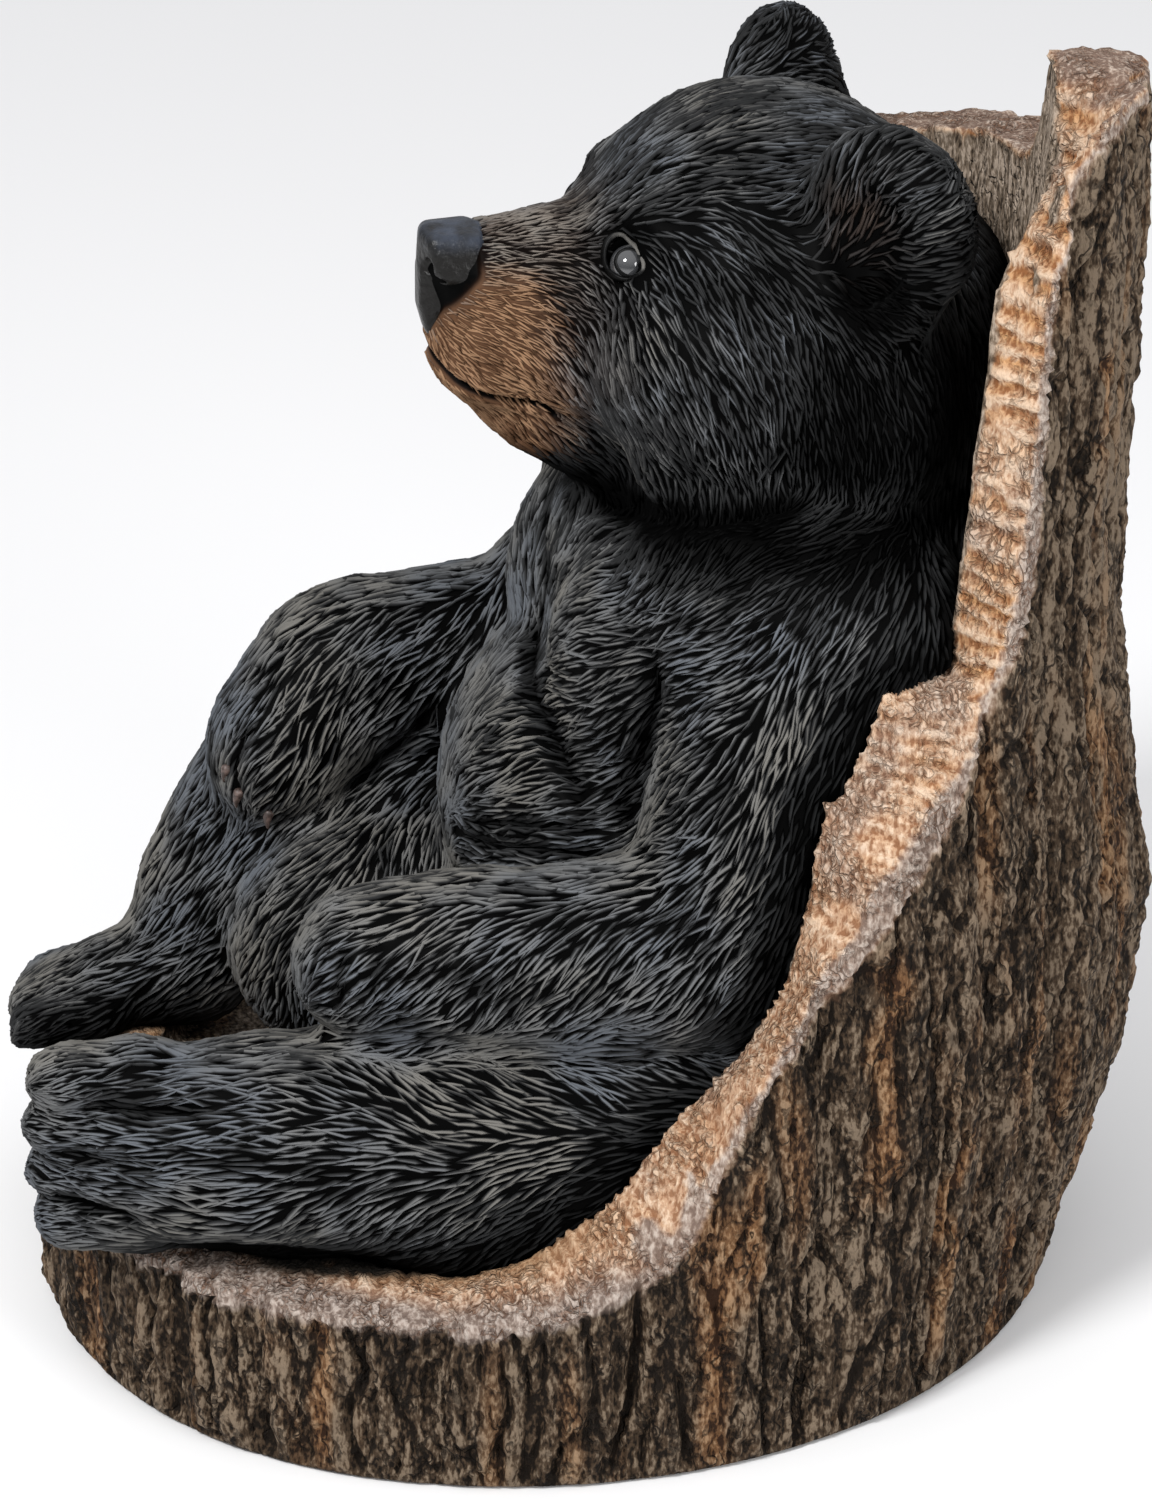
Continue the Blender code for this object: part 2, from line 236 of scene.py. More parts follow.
def surface_tree(mesh):
    """Finds places on the mesh's surface fast."""
    return BVHTree.FromPolygons(
        [vertex.co for vertex in mesh.vertices], [tuple(face.vertices) for face in mesh.polygons]
    )


def upright_streaks(streaks, seed):
    """1 along the middle of each wandering upright streak, down to 0 beside it."""
    share = np.zeros(len(height))
    wander = 2.6 * cloud(wood_points, 20 * mm, seed)
    for middle, low, high, half_width in streaks:
        across = abs((heading - middle + wander + 180) % 360 - 180) / half_width
        along = smooth_step(height, (low - 12) * mm, (low + 6) * mm)
        along *= smooth_fall(height, (high - 6) * mm, (high + 12) * mm)
        share = np.maximum(share, smooth_fall(across, 0.3, 1.7) * along)
    return share


stump = fine_copy("painted_stump", "stump", stump_grain, 1)
wood_points = points_of(stump.data)
wood_normals = normals_of(stump.data)
soft_normals = np.stack([averaged(stump.data, wood_normals[:, axis], 5) for axis in range(3)], axis=1)
soft_normals /= np.linalg.norm(soft_normals, axis=1)[:, None]
outward = wood_points * (1, 1, 0)
reach = np.linalg.norm(outward, axis=1)
outward /= np.maximum(reach, mm)[:, None]
heading = np.degrees(np.arctan2(wood_points[:, 0], -wood_points[:, 1]))
height = wood_points[:, 2]
facing_out = (soft_normals * outward).sum(1)
facing_up = soft_normals[:, 2]

underside = (facing_up < -0.75) | (height < 2 * mm)
seat = (facing_up > 0.5) & (reach < seat_reach) & (height < seat_top)
bared = (facing_up > 0.42) | ((abs(facing_out) < 0.5) & (height > 70 * mm))
bared = averaged(stump.data, (bared & ~underside & ~seat & (height > broken_from)).astype(float), 4)
spread = averaged(stump.data, bared, 22)
bare_edge = np.interp(abs(heading), bare_edge_headings, bare_edge_heights) * mm
left_band = smooth_step(height - bare_edge, -2 * mm, 3 * mm) * (facing_out > 0.3)
left_band *= (heading > 45) & (heading < 142)
ragged = 0.22 * cloud(wood_points, 9 * mm, 3.0) + 0.2 * cloud(wood_points, 3.5 * mm, 4.0)
core = smooth_step(bared + ragged, 0.34, 0.66)
broken = np.maximum(core, smooth_step(np.maximum(spread * 2.2, left_band) + ragged, 0.4, 0.7))
inside = averaged(stump.data, ((facing_out < -0.2) | seat).astype(float), 3)
inside = smooth_step(inside, 0.35, 0.65) * (height > hollow_from)
broken *= 1 - inside * (1 - core)
inside *= 1 - broken
bark = (1 - broken) * (1 - inside) * ~underside

upright = np.array((1, 1, 6.0))
warp = np.stack([cloud(wood_points, 26 * mm, seed) for seed in (11.0, 12.0, 13.0)], axis=1) * 6 * mm
furrows = smooth_fall(abs(cloud(wood_points + 0.7 * warp, 13 * mm * upright, 21.0)), 0.0, 0.12)
fibres = 1 - 2 * abs(cloud(wood_points + 0.4 * warp, 3.1 * mm * upright, 31.0))
plates, plate_tones = crackle(wood_points + 0.6 * warp, 11 * mm * np.array((1, 1, 5)), 24.0)
plate_height = height + 45 * mm * cloud(wood_points, 50 * mm, 25.0)
plate_share = 0.6 + 0.4 * smooth_step(plate_height, 150 * mm, 260 * mm)
lumps = cloud(wood_points, 9 * mm * np.array((1, 1, 2)), 33.0)
crumbs = cloud(wood_points, 2.1 * mm * np.array((1, 1, 1.6)), 34.0)
bark_relief = (
    bark_lump_height * lumps
    + fibre_height * fibres
    + 2 * crumb_height * crumbs
    - furrow_depth * furrows
    - plate_crack_depth * plate_share * smooth_fall(plates, 0.0, 0.15)
    - deep_crack_depth * upright_streaks(deep_cracks, 64.0)
)

# Short steps run across the broken edge, square to the way that the edge climbs
edge_climb = np.interp(height / mm, bare_edge_heights[1:], bare_edge_headings[1:])
slant = 0.6 * smooth_fall(height, 190 * mm, 250 * mm)
arc = np.radians(slant * (abs(heading) - edge_climb) + 0.6 * edge_climb) * wall_radius
beat = (height + arc) / chisel_pitch + 0.5 * cloud(wood_points, 20 * mm, 41.0)
beat += 0.2 * cloud(wood_points, 6 * mm, 42.0)
beat -= np.floor(beat)
step = smooth_step(beat, 0.0, 0.2) * smooth_fall(beat, 0.25, 0.8)
steepness = smooth_fall(facing_up, 0.5, 0.9)
splinters = cloud(wood_points, np.array((4.2, 4.2, 2.6)) * mm, 43.0)
grit = cloud(wood_points, 2.2 * mm, 44.0)
step_share = steepness * core * smooth_step(cloud(wood_points, 18 * mm, 45.0), -0.6, 0.1)
step_share *= 0.35 + 0.65 * smooth_step(height, 190 * mm, 240 * mm)
ridges = np.sin(math.tau * ((height + arc) / ridge_pitch + 0.9 * cloud(wood_points, 11 * mm, 46.0)))
ridges *= smooth_step(cloud(wood_points, 14 * mm, 47.0), -0.3, 0.2)
break_relief = step_share * chisel_depth * (step - 0.6) + ridge_height * ridges
break_relief += splinter_height * splinters + 0.7 * splinter_height * grit

hollow_relief = hollow_streak_height * (cloud(wood_points, 4.5 * mm * upright, 51.0) - 0.6)
relief = bark * bark_relief + broken * break_relief + inside * hollow_relief
relief *= smooth_step(height, 0, 6 * mm)
away = np.where((core > 0.5)[:, None], soft_normals, outward * np.sign(facing_out)[:, None])
away[inside > 0.3] = soft_normals[inside > 0.3]
wood_points = wood_points + away * relief[:, None]
move_points(stump.data, wood_points)

# What each point of the wood is, kept for its material
rise = relief - averaged(stump.data, relief, 14)
tan = 0.85 * upright_streaks(tan_streaks, 61.0)
tan += 0.6 * smooth_step(cloud(wood_points, 13 * mm * upright, 62.0), 0.15, 0.6)
far_top = 0.8 * smooth_step(facing_up, 0.55, 0.85) * (height > wall_top_from)
toning = 0.15 * smooth_step(height, 150 * mm, 250 * mm) + 0.13 * bark * plate_tones - 0.45 * far_top
paint(stump.data, "relief", np.where(bark > 0.5, 0.43, 0.46) + rise / (3.2 * mm) + toning)
paint(stump.data, "broken", broken)
paint(stump.data, "inside", inside)
paint(stump.data, "tan", tan)
paint(stump.data, "recess", step_share * (1 - step) * smooth_step(beat, 0.15, 0.55))
# The joint with the bear is painted dark: partly dark paint in the joint, partly painted shade in the gap
near_bear = surface_tree(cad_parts["bear"].data)
gaps = np.ones(len(height))
for number in np.flatnonzero((height < joint_top) & (facing_up > 0.3)).tolist():
    gaps[number] = near_bear.find_nearest(Vector(wood_points[number]))[3]
low_rim = smooth_fall(height, *low_rim_heights)
# Painted shade on the seat between the legs, where the legs shade it
shade_between_legs = 0.6 * low_rim * (facing_up > 0.3) * smooth_fall(reach, *leg_shade_reaches)
joint_and_shade = 1 - smooth_step(gaps, 0.2 * joint_reach, joint_reach) ** 0.6
paint(stump.data, "joint_and_shade", np.maximum(joint_and_shade, shade_between_legs))
rim = smooth_step(reach, *rim_reaches) * low_rim
weathered = np.maximum(rim, np.maximum(far_top, 0.9 * broken * (1 - core) * (facing_out > 0)))
paint(stump.data, "weathered", weathered)
warm_reach = reach + 3 * mm * cloud(wood_points, 12 * mm, 63.0)
paint(stump.data, "warm", low_rim * smooth_fall(warm_reach, *warm_reaches))
thin_to(stump, stump_triangles)


def feed(tree, socket, given):
    """Links the socket to the one that is given, or sets it to the value or colour."""
    if isinstance(given, bpy.types.NodeSocket):
        tree.links.new(given, socket)
    elif socket.type == "RGBA":
        socket.default_value = (*given, 1)
    else:
        socket.default_value = given


def add_node(tree, kind, settings=None, **inputs):
    """A node with its settings, whose named inputs take a value or a link."""
    made = tree.nodes.new(kind)
    for name, value in (settings or {}).items():
        setattr(made, name, value)
    for name, given in inputs.items():
        feed(tree, made.inputs[name.replace("_", " ")], given)
    return made


def blend_colours(tree, share, first, second):
    """The first colour where the share is 0 and the second where it is 1."""
    mixer = add_node(tree, "ShaderNodeMix", {"data_type": "RGBA"})
    for number, given in ((0, share), (6, first), (7, second)):
        feed(tree, mixer.inputs[number], given)
    return mixer.outputs[2]


def calculated(tree, operation, first, second):
    """The two values added, multiplied, subtracted or compared."""
    worked_out = add_node(tree, "ShaderNodeMath", {"operation": operation})
    for socket, given in zip(worked_out.inputs, (first, second)):
        feed(tree, socket, given)
    return worked_out.outputs[0]


def times(tree, first, second):
    """The two values multiplied."""
    return calculated(tree, "MULTIPLY", first, second)


def mask(tree, name):
    """The numbers that the mesh keeps for its points under that name."""
    return add_node(tree, "ShaderNodeAttribute", {"attribute_name": name}).outputs["Fac"]


def stepped(tree, value, low, high):
    """0 below low, 1 above high and a soft climb between them."""
    settings = {"interpolation_type": "SMOOTHSTEP"}
    climb = add_node(tree, "ShaderNodeMapRange", settings, Value=value, From_Min=low, From_Max=high)
    return climb.outputs[0]


def own_places(tree):
    """The piece's own coordinates."""
    return tree.nodes.new("ShaderNodeTexCoord").outputs["Object"]


space = {"noise_dimensions": "3D"}


def speckle(tree, scale, detail=3.0, stretch=(1, 1, 1)):
    """Noise from 0 to 1 over the piece's own coordinates, with so many lumps to the metre."""
    stretched = add_node(tree, "ShaderNodeMapping", Vector=own_places(tree), Scale=stretch).outputs[0]
    lumps = add_node(tree, "ShaderNodeTexNoise", space, Vector=stretched, Scale=scale, Detail=detail)
    return lumps.outputs[0]


def cracked(tree, scale, stretch, waviness, width, shown):
    """1 in each of many fine cracks where they are shown, with so many cells to the metre."""
    own = own_places(tree)
    wander = add_node(tree, "ShaderNodeTexNoise", space, Vector=own, Scale=110.0, Detail=3.0)
    bent = add_node(tree, "ShaderNodeVectorMath", {"operation": "MULTIPLY_ADD"})
    for socket, given in zip(bent.inputs, (wander.outputs["Color"], (waviness, waviness, waviness), own)):
        feed(tree, socket, given)
    stretched = add_node(tree, "ShaderNodeMapping", Vector=bent.outputs[0], Scale=stretch).outputs[0]
    settings = {"feature": "DISTANCE_TO_EDGE"}
    cells = add_node(tree, "ShaderNodeTexVoronoi", settings, Vector=stretched, Scale=scale)
    beside = stepped(tree, cells.outputs["Distance"], 0.0, width)
    return times(tree, calculated(tree, "SUBTRACT", 1.0, beside), shown)


def new_group(name, inputs, outputs):
    """An empty node group, with its socket kinds by name, and its two end nodes."""
    group = bpy.data.node_groups.new(name, "ShaderNodeTree")
    for direction, sockets in (("INPUT", inputs), ("OUTPUT", outputs)):
        for socket, kind in sockets.items():
            group.interface.new_socket(socket, in_out=direction, socket_type="NodeSocket" + kind)
    return group, group.nodes.new("NodeGroupInput").outputs, group.nodes.new("NodeGroupOutput").inputs


# Paint as the figurine's makers lay it: a body colour, a dark wash that stays in the pits, and at last a
# nearly dry brush over the ridges
brushed_paint, given, made = new_group(
    "brushed_paint",
    {"Relief": "Float", "Wash": "Color", "Body": "Color", "Brush": "Color", "Patch Size": "Float"},
    {"Color": "Color"},
)
patches = speckle(brushed_paint, given["Patch Size"], 4.0)
uneven = calculated(brushed_paint, "ADD", times(brushed_paint, patches, 1.3), 0.35)
shifted = times(brushed_paint, given["Relief"], uneven)
covered = stepped(brushed_paint, shifted, 0.1, 0.45)
washed = blend_colours(brushed_paint, covered, given["Wash"], given["Body"])
proud = stepped(brushed_paint, shifted, 0.45, 0.9)
feed(brushed_paint, made["Color"], blend_colours(brushed_paint, proud, washed, given["Brush"]))


def brushed(tree, relief, patch_size, paints):
    """The colour of brushed paint over the relief, with its three paints: wash, body and brush."""
    settings = {"node_tree": brushed_paint}
    placed = add_node(tree, "ShaderNodeGroup", settings, Relief=relief, Patch_Size=patch_size)
    for name, given in zip(("Wash", "Body", "Brush"), paints):
        feed(tree, placed.inputs[name], given)
    return placed.outputs["Color"]


def new_material(name, roughness, specular=0.5):
    """A material, its nodes and its shader, with how rough it is and how strongly it reflects."""
    look = bpy.data.materials.new(name)
    look.use_nodes = True
    shader = look.node_tree.nodes["Principled BSDF"]
    shader.inputs["Roughness"].default_value = roughness
    shader.inputs["Specular IOR Level"].default_value = specular
    return look, look.node_tree, shader


def finish_piece(piece, look):
    """Shades the piece smoothly and gives it its material."""
    piece.data.shade_smooth()
    piece.data.materials.append(look)


wood_paint, tree, shader = new_material("painted_wood_grain", 0.75, 0.12)
grain = speckle(tree, 760, 5.0, (1, 1, 0.45))
coarse_grain = speckle(tree, 260, 4.0, (1, 1, 0.3))
grain_shift = times(tree, calculated(tree, "SUBTRACT", grain, 0.51), 2.4)
coarse_shift = times(tree, calculated(tree, "SUBTRACT", coarse_grain, 0.51), 0.9)
roughened = calculated(tree, "ADD", grain_shift, coarse_shift)
roughened = calculated(tree, "ADD", mask(tree, "relief"), roughened)
seen_cracks = stepped(tree, speckle(tree, 75, 3.0), 0.38, 0.62)
long_cracks = cracked(tree, 210, (1, 1, 0.14), 0.014, 0.12, seen_cracks)
short_cracks = cracked(tree, 330, (1, 1, 0.8), 0.010, 0.14, seen_cracks)

bark_colour = brushed(tree, roughened, 40.0, bark_paints)
tan_colour = brushed(tree, roughened, 120.0, tan_paints)
outer_colour = blend_colours(tree, mask(tree, "tan"), bark_colour, tan_colour)
outer_colour = blend_colours(tree, times(tree, long_cracks, 0.85), outer_colour, bark_crack_paint)

# The broken edge: warm in its recesses and along the hollow, grey where it is weathered
weathering = times(tree, stepped(tree, speckle(tree, 38, 3.0), 0.5, 0.68), 0.5)
weathering = calculated(tree, "MAXIMUM", weathering, mask(tree, "weathered"))
recess_colour = blend_colours(tree, stepped(tree, roughened, 0.1, 0.8), *recess_paints)
weathered_colour = blend_colours(tree, stepped(tree, roughened, 0.1, 0.9), *weathered_paints)
warm_colour = blend_colours(tree, stepped(tree, roughened, 0.0, 1.0), *warm_paints)
band_colour = brushed(tree, roughened, 70.0, broken_paints)
band_colour = blend_colours(tree, times(tree, mask(tree, "recess"), 0.9), band_colour, recess_colour)
band_colour = blend_colours(tree, times(tree, weathering, 0.75), band_colour, weathered_colour)
band_colour = blend_colours(tree, times(tree, short_cracks, 0.6), band_colour, broken_crack_paint)
band_colour = blend_colours(tree, mask(tree, "warm"), band_colour, warm_colour)

hollow_colour = brushed(tree, roughened, 60.0, hollow_paints)
wood_colour = blend_colours(tree, mask(tree, "broken"), outer_colour, band_colour)
wood_colour = blend_colours(tree, mask(tree, "inside"), wood_colour, hollow_colour)
# Dark joint paint and painted shade near the bear
wood_colour = blend_colours(tree, mask(tree, "joint_and_shade"), wood_colour, joint_and_shade_paint)
feed(tree, shader.inputs["Base Color"], wood_colour)
cracks = calculated(tree, "MAXIMUM", times(tree, mask(tree, "broken"), short_cracks), long_cracks)
fine_height = calculated(tree, "SUBTRACT", calculated(tree, "ADD", grain, coarse_grain), cracks)
fine_bump = add_node(tree, "ShaderNodeBump", Strength=0.9, Distance=1.3 * mm, Height=fine_height)
feed(tree, shader.inputs["Normal"], fine_bump.outputs[0])
finish_piece(stump, wood_paint)
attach(stump, "root")
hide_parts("stump")


# The bear: a second casting, bonded into the hollow. Its skin is modelled as combed fur, painted black
# with a bluish grey brush, and its muzzle is tan. The smooth skin here lies under the ridges of fur.

bear_grain = 1.9 * mm
skin_triangles = 195000
muzzle_middle = np.array((0, -8, 312)) * mm
muzzle_reach = 42 * mm
mouth_depth = 3.6 * mm
mouth_width = 1.6 * mm
lip_height = 0.8 * mm
lip_gap = 3.0
lip_width = 1.3
mouth_line = (
    (0, -36, 307), (10, -33, 303), (17, -26, 298), (19, -20, 295), (20, -12, 293), (24, -5, 293),
    (25, -2, 291),
)
eye_middle = np.array((30.0, 19.4, 336.3)) * mm
eye_pit = np.array((29, 16, 342)) * mm
eye_pit_depth = 4.0 * mm
ear_pit = np.array((75, 79, 337)) * mm
ear_pit_depth = 6.5 * mm
lip_wear = 1.2 * mm

black_wash = (0.0008, 0.0008, 0.0008)
black_body = (0.021, 0.0215, 0.022)
warm_grey_brush = (0.150, 0.144, 0.131)
cool_grey_brush = (0.112, 0.122, 0.137)
muzzle_paints = ((0.016, 0.007, 0.004), (0.090, 0.046, 0.025), (0.27, 0.160, 0.092))

# Folds of the skin, made on both sides or as they stand: width and depth in mm, and the places that each
# runs through
skin_folds = (
    ("both", 4.0, 4.5, (8, 10, 256), (26, 16, 260), (54, 22, 267), (68, 32, 271), (75, 46, 274),
     (74, 58, 278), (72, 68, 285)),
    ("one", 3.4, 4.0, (-28, 10, 248), (-9, 2, 230), (-5, -2, 209), (19, -8, 201), (30, -7, 197),
     (39, -5, 193), (50, -2, 184), (58, 0, 176)),
    ("one", 5.0, 2.5, (4, 16, 254), (0, 8, 240), (-3, 2, 226), (-4, -2, 212)),
    ("one", 3.6, 4.5, (72, 18, 232), (70, 18, 217), (66, 16, 200), (62, 11, 184), (66, 8, 170)),
    ("one", 1.8, 2.6, (20, -30, 162), (24, -28, 161), (44, -16, 168), (55, -6, 171), (64, 4, 173)),
    ("one", 2.0, 3.2, (10, -34, 152), (29, -26, 156), (45, -17, 161), (58, -5, 164), (70, 6, 167)),
    ("one", 2.6, 3.0, (-44, -57, 142), (-48, -46, 147), (-47, -37, 155), (-44, -29, 165), (-42, -25, 172)),
    ("one", 3.0, 5.4, (103, -116, 115), (97, -143, 115), (90, -154, 115), (78, -162, 115)),
    ("one", 3.0, 5.4, (104, -116, 99), (98, -146, 99), (90, -160, 99), (78, -168, 99)),
    ("one", 3.0, 5.4, (103, -116, 82), (98, -146, 82), (90, -160, 82), (78, -168, 82)),
    ("one", 10.0, 8.0, (97, -138, 60), (104, -124, 61), (109, -106, 60), (112, -86, 57), (112, -66, 54)),
    ("one", 1.8, 2.0, (90, -85, 160), (91, -90, 148), (92, -88, 134)),
    ("one", 1.8, 2.0, (94, -78, 162), (97, -81, 150), (97, -79, 134)),
    ("one", 1.8, 2.0, (98, -68, 162), (102, -71, 150), (101, -70, 134)),
    ("one", 1.8, 2.2, (-48, -84, 166), (-46, -90, 154), (-45, -88, 142)),
    ("one", 1.8, 2.2, (-44, -74, 164), (-43, -82, 152), (-43, -80, 138)),
    ("one", 1.8, 2.4, (-58, -138, 84), (-58, -154, 76), (-58, -170, 62)),
    ("one", 1.8, 2.4, (-71, -138, 86), (-71, -156, 78), (-71, -174, 62)),
    ("one", 1.8, 2.4, (-84, -138, 84), (-84, -154, 76), (-84, -170, 62)),
)


def refine(piece, middle, reach):
    """Splits each face within reach of the middle into four."""
    sculpt = bmesh.new()
    sculpt.from_mesh(piece.data)
    middle = Vector(middle)
    inner = [edge for edge in sculpt.edges if all((end.co - middle).length < reach for end in edge.verts)]
    bmesh.ops.subdivide_edges(sculpt, edges=inner, cuts=1, use_grid_fill=True, smooth=0.6)
    sculpt.to_mesh(piece.data)
    sculpt.free()


def to_left(points):
    """The same points, with those of the right half mirrored over to the left."""
    return np.abs(points * (1, 0, 0)) + points * (0, 1, 1)


def bell(values):
    """1 where the values are 0, and a soft fall towards 0 on both sides."""
    return np.exp(-(values**2))


def near(points, middle, reach):
    """1 at the middle, on both sides of the bear, and a soft fall to almost 0 at twice the reach in mm."""
    return bell(np.linalg.norm(to_left(points) - middle, axis=1) / mm / reach)


def line_distance(points, line):
    """Distance in mm of each point from a line of straight lengths, and how far along the line it lies."""
    nearest = np.full(len(points), np.inf)
    place_on_line = np.zeros(len(points))
    for number, (start, end) in enumerate(zip(line, line[1:])):
        start, span = np.array(start), np.subtract(end, start)
        share = np.clip((points / mm - start) @ span / (span @ span), 0, 1)
        distance = np.linalg.norm(points / mm - start - share[:, None] * span, axis=1)
        closer = distance < nearest
        nearest[closer] = distance[closer]
        place_on_line[closer] = (number + share[closer]) / (len(line) - 1)
    return nearest, place_on_line


def on_surface(points, tree):
    """The nearest places on the tree's surface, and the normals there."""
    found = [tree.find_nearest(place) for place in points.tolist()]
    return np.array([hit[0] for hit in found]), np.array([hit[1] for hit in found])


def bare_lip_at(points):
    """Share of black, bare skin at each point: the nose's surround and the front of the upper lip."""
    side, forward, high = to_left(points).T / mm
    lower_edge = 316 + 1.2 * (forward + 34) - 5 * (1 - np.clip(side / 8, 0, 1))
    above_edge = smooth_step(high - lower_edge, -2.0, 1.0)
    return above_edge * smooth_fall(forward, -22.5, -20.5) * (high < 350)


skin = fine_copy("bear_skin", "bear", bear_grain, 3)
for _ in range(2):
    refine(skin, muzzle_middle, muzzle_reach)
for side in (-1, 1):
    refine(skin, eye_middle * (side, 1, 1), 13 * mm)
skin_points = points_of(skin.data)
skin_normals = normals_of(skin.data)
sinking = np.zeros(len(skin_points))
fold_share = np.zeros(len(skin_points))
for sides, fold_width, fold_depth, *fold_line in skin_folds:
    gap, along = line_distance(to_left(skin_points) if sides == "both" else skin_points, fold_line)
    faded = smooth_step(along, 0, 0.15) * smooth_fall(along, 0.85, 1)
    share = bell(gap / fold_width) * (0.25 + 0.75 * faded)
    sinking = np.maximum(sinking, fold_depth * mm * share)
    fold_share = np.maximum(fold_share, share)
mouth_path, _ = on_surface(np.array(mouth_line) * mm, surface_tree(skin.data))
mouth_gap, mouth_place = line_distance(to_left(skin_points), mouth_path / mm)
mouth_groove = bell(mouth_gap * mm / mouth_width) * (1 + 0.6 * smooth_step(mouth_place, 0.86, 1))
mouth_sides = smooth_step(abs(skin_points[:, 0]), 2 * mm, 11 * mm)
mouth_groove *= 0.45 + 0.55 * mouth_sides
sinking += mouth_depth * mouth_groove - lip_height * mouth_sides * bell((mouth_gap - lip_gap) / lip_width)
sinking += eye_pit_depth * near(skin_points, eye_pit, 4.2) + ear_pit_depth * near(skin_points, ear_pit, 8.5)
sinking += lip_wear * bare_lip_at(skin_points)
skin_points -= skin_normals * sinking[:, None]
move_points(skin.data, skin_points)


def tan_at(points):
    """Share of tan paint at each point: the sides of the muzzle, the lips and the chin."""
    side, forward, high = to_left(points).T / mm
    mottle = 3 * cloud(points, 7 * mm, 81.0)
    toward_nose = smooth_fall(forward + mottle - 0.06 * (310 - high), -12, 5)
    below_top = smooth_fall(high + mottle, 325, 338)
    above_throat = smooth_step(high - 0.5 * forward, 278, 286)
    bridge = 0.14 * smooth_fall(forward, -6, 20) * smooth_step(high, 300, 322)
    muzzle = np.maximum(toward_nose * below_top * above_throat, bridge)
    return muzzle * (1 - bare_lip_at(points)) * (side < 60)


tan_mask = tan_at(skin_points) * smooth_fall(mouth_groove, 0.07, 0.3)
paint(skin.data, "relief", 0.42 * tan_mask)
paint(skin.data, "tan", tan_mask)
skin_tree = surface_tree(skin.data)
face_folds = np.array([fold_share[list(face.vertices)].mean() for face in skin.data.polygons])
thin_to(skin, skin_triangles)

fur_paint, tree, shader = new_material("brushed_fur_paint", 0.5, 0.02)
relief_mask = mask(tree, "relief")
cool_share = stepped(tree, speckle(tree, 22, 2.0), 0.35, 0.65)
grey_brush = blend_colours(tree, cool_share, warm_grey_brush, cool_grey_brush)
black_fur = brushed(tree, relief_mask, 70.0, (black_wash, black_body, grey_brush))
tan_fur = brushed(tree, relief_mask, 110.0, muzzle_paints)
feed(tree, shader.inputs["Base Color"], blend_colours(tree, mask(tree, "tan"), black_fur, tan_fur))
finish_piece(skin, fur_paint)
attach(skin, "root")
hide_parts("bear")


# The fur: thousands of pointed ridges that the modeller combed into the clay, cast with the bear. Each is
# a wedge that hugs the skin, and they lie side by side along the combing lines below.

lock_length = 15 * mm
lock_half_width = 1.0 * mm
lock_lift = 1.3 * mm
lock_sink = 0.3 * mm
lock_points = 8
flank_share = 0.16
spacing_across = 1.15 * mm
spacing_along = 5.4 * mm
candidate_count = 190000
comb_reach = 8.0
fur_seed = 5
least_room = 0.9 * mm
room_ahead = 2.2 * mm
ear_tuft = np.array((62, 76, 353)) * mm
ear_tuft_tan = 0.22
eye_radius = 5.8 * mm

# The three steps of a lock from its root: each one's share of the length, and the lock's share of its full
# height and width at the step's end
lock_steps = ((0.32, 0.85, 1.0), (0.38, 1.0, 0.75), (0.30, 0.4, 0.0))

# Room in mm that roots, and the ends of locks, leave to the mouth and to the edge of the lids
root_room = (2.1, 1.2)
lock_room = (1.8, 1.0)
opening_room = 3.3
bead_room = 6.0 * mm
eye_pit_room = 4.4 * mm

# The edge of the lids round the left eye, seen from the side: mm behind and above the middle of the bead
lid_edge = (
    (-3.7, 8.6), (-1.6, 8.2), (0.9, 5.6), (2.7, 2.6), (3.9, -0.6), (3.0, -3.1), (-1.0, -4.5), (-4.8, -2.8),
    (-6.9, 0.6), (-7.0, 4.4), (-5.8, 7.2),
)
opening_line = ((-4.0, 6.0), (-3.2, 3.0), (-1.4, -0.8))
lid_clearance = 0.3 * mm
side_view = np.array((0.886, -0.188, 0.423))
side_view_back = np.array((0.208, 0.978, 0))
side_view_up = np.array((-0.413, 0.088, 0.906))

# How strongly each coat is brushed with grey
coats = {"head": 0.98, "body": 1.03, "arms": 1.08, "legs": 1.08}

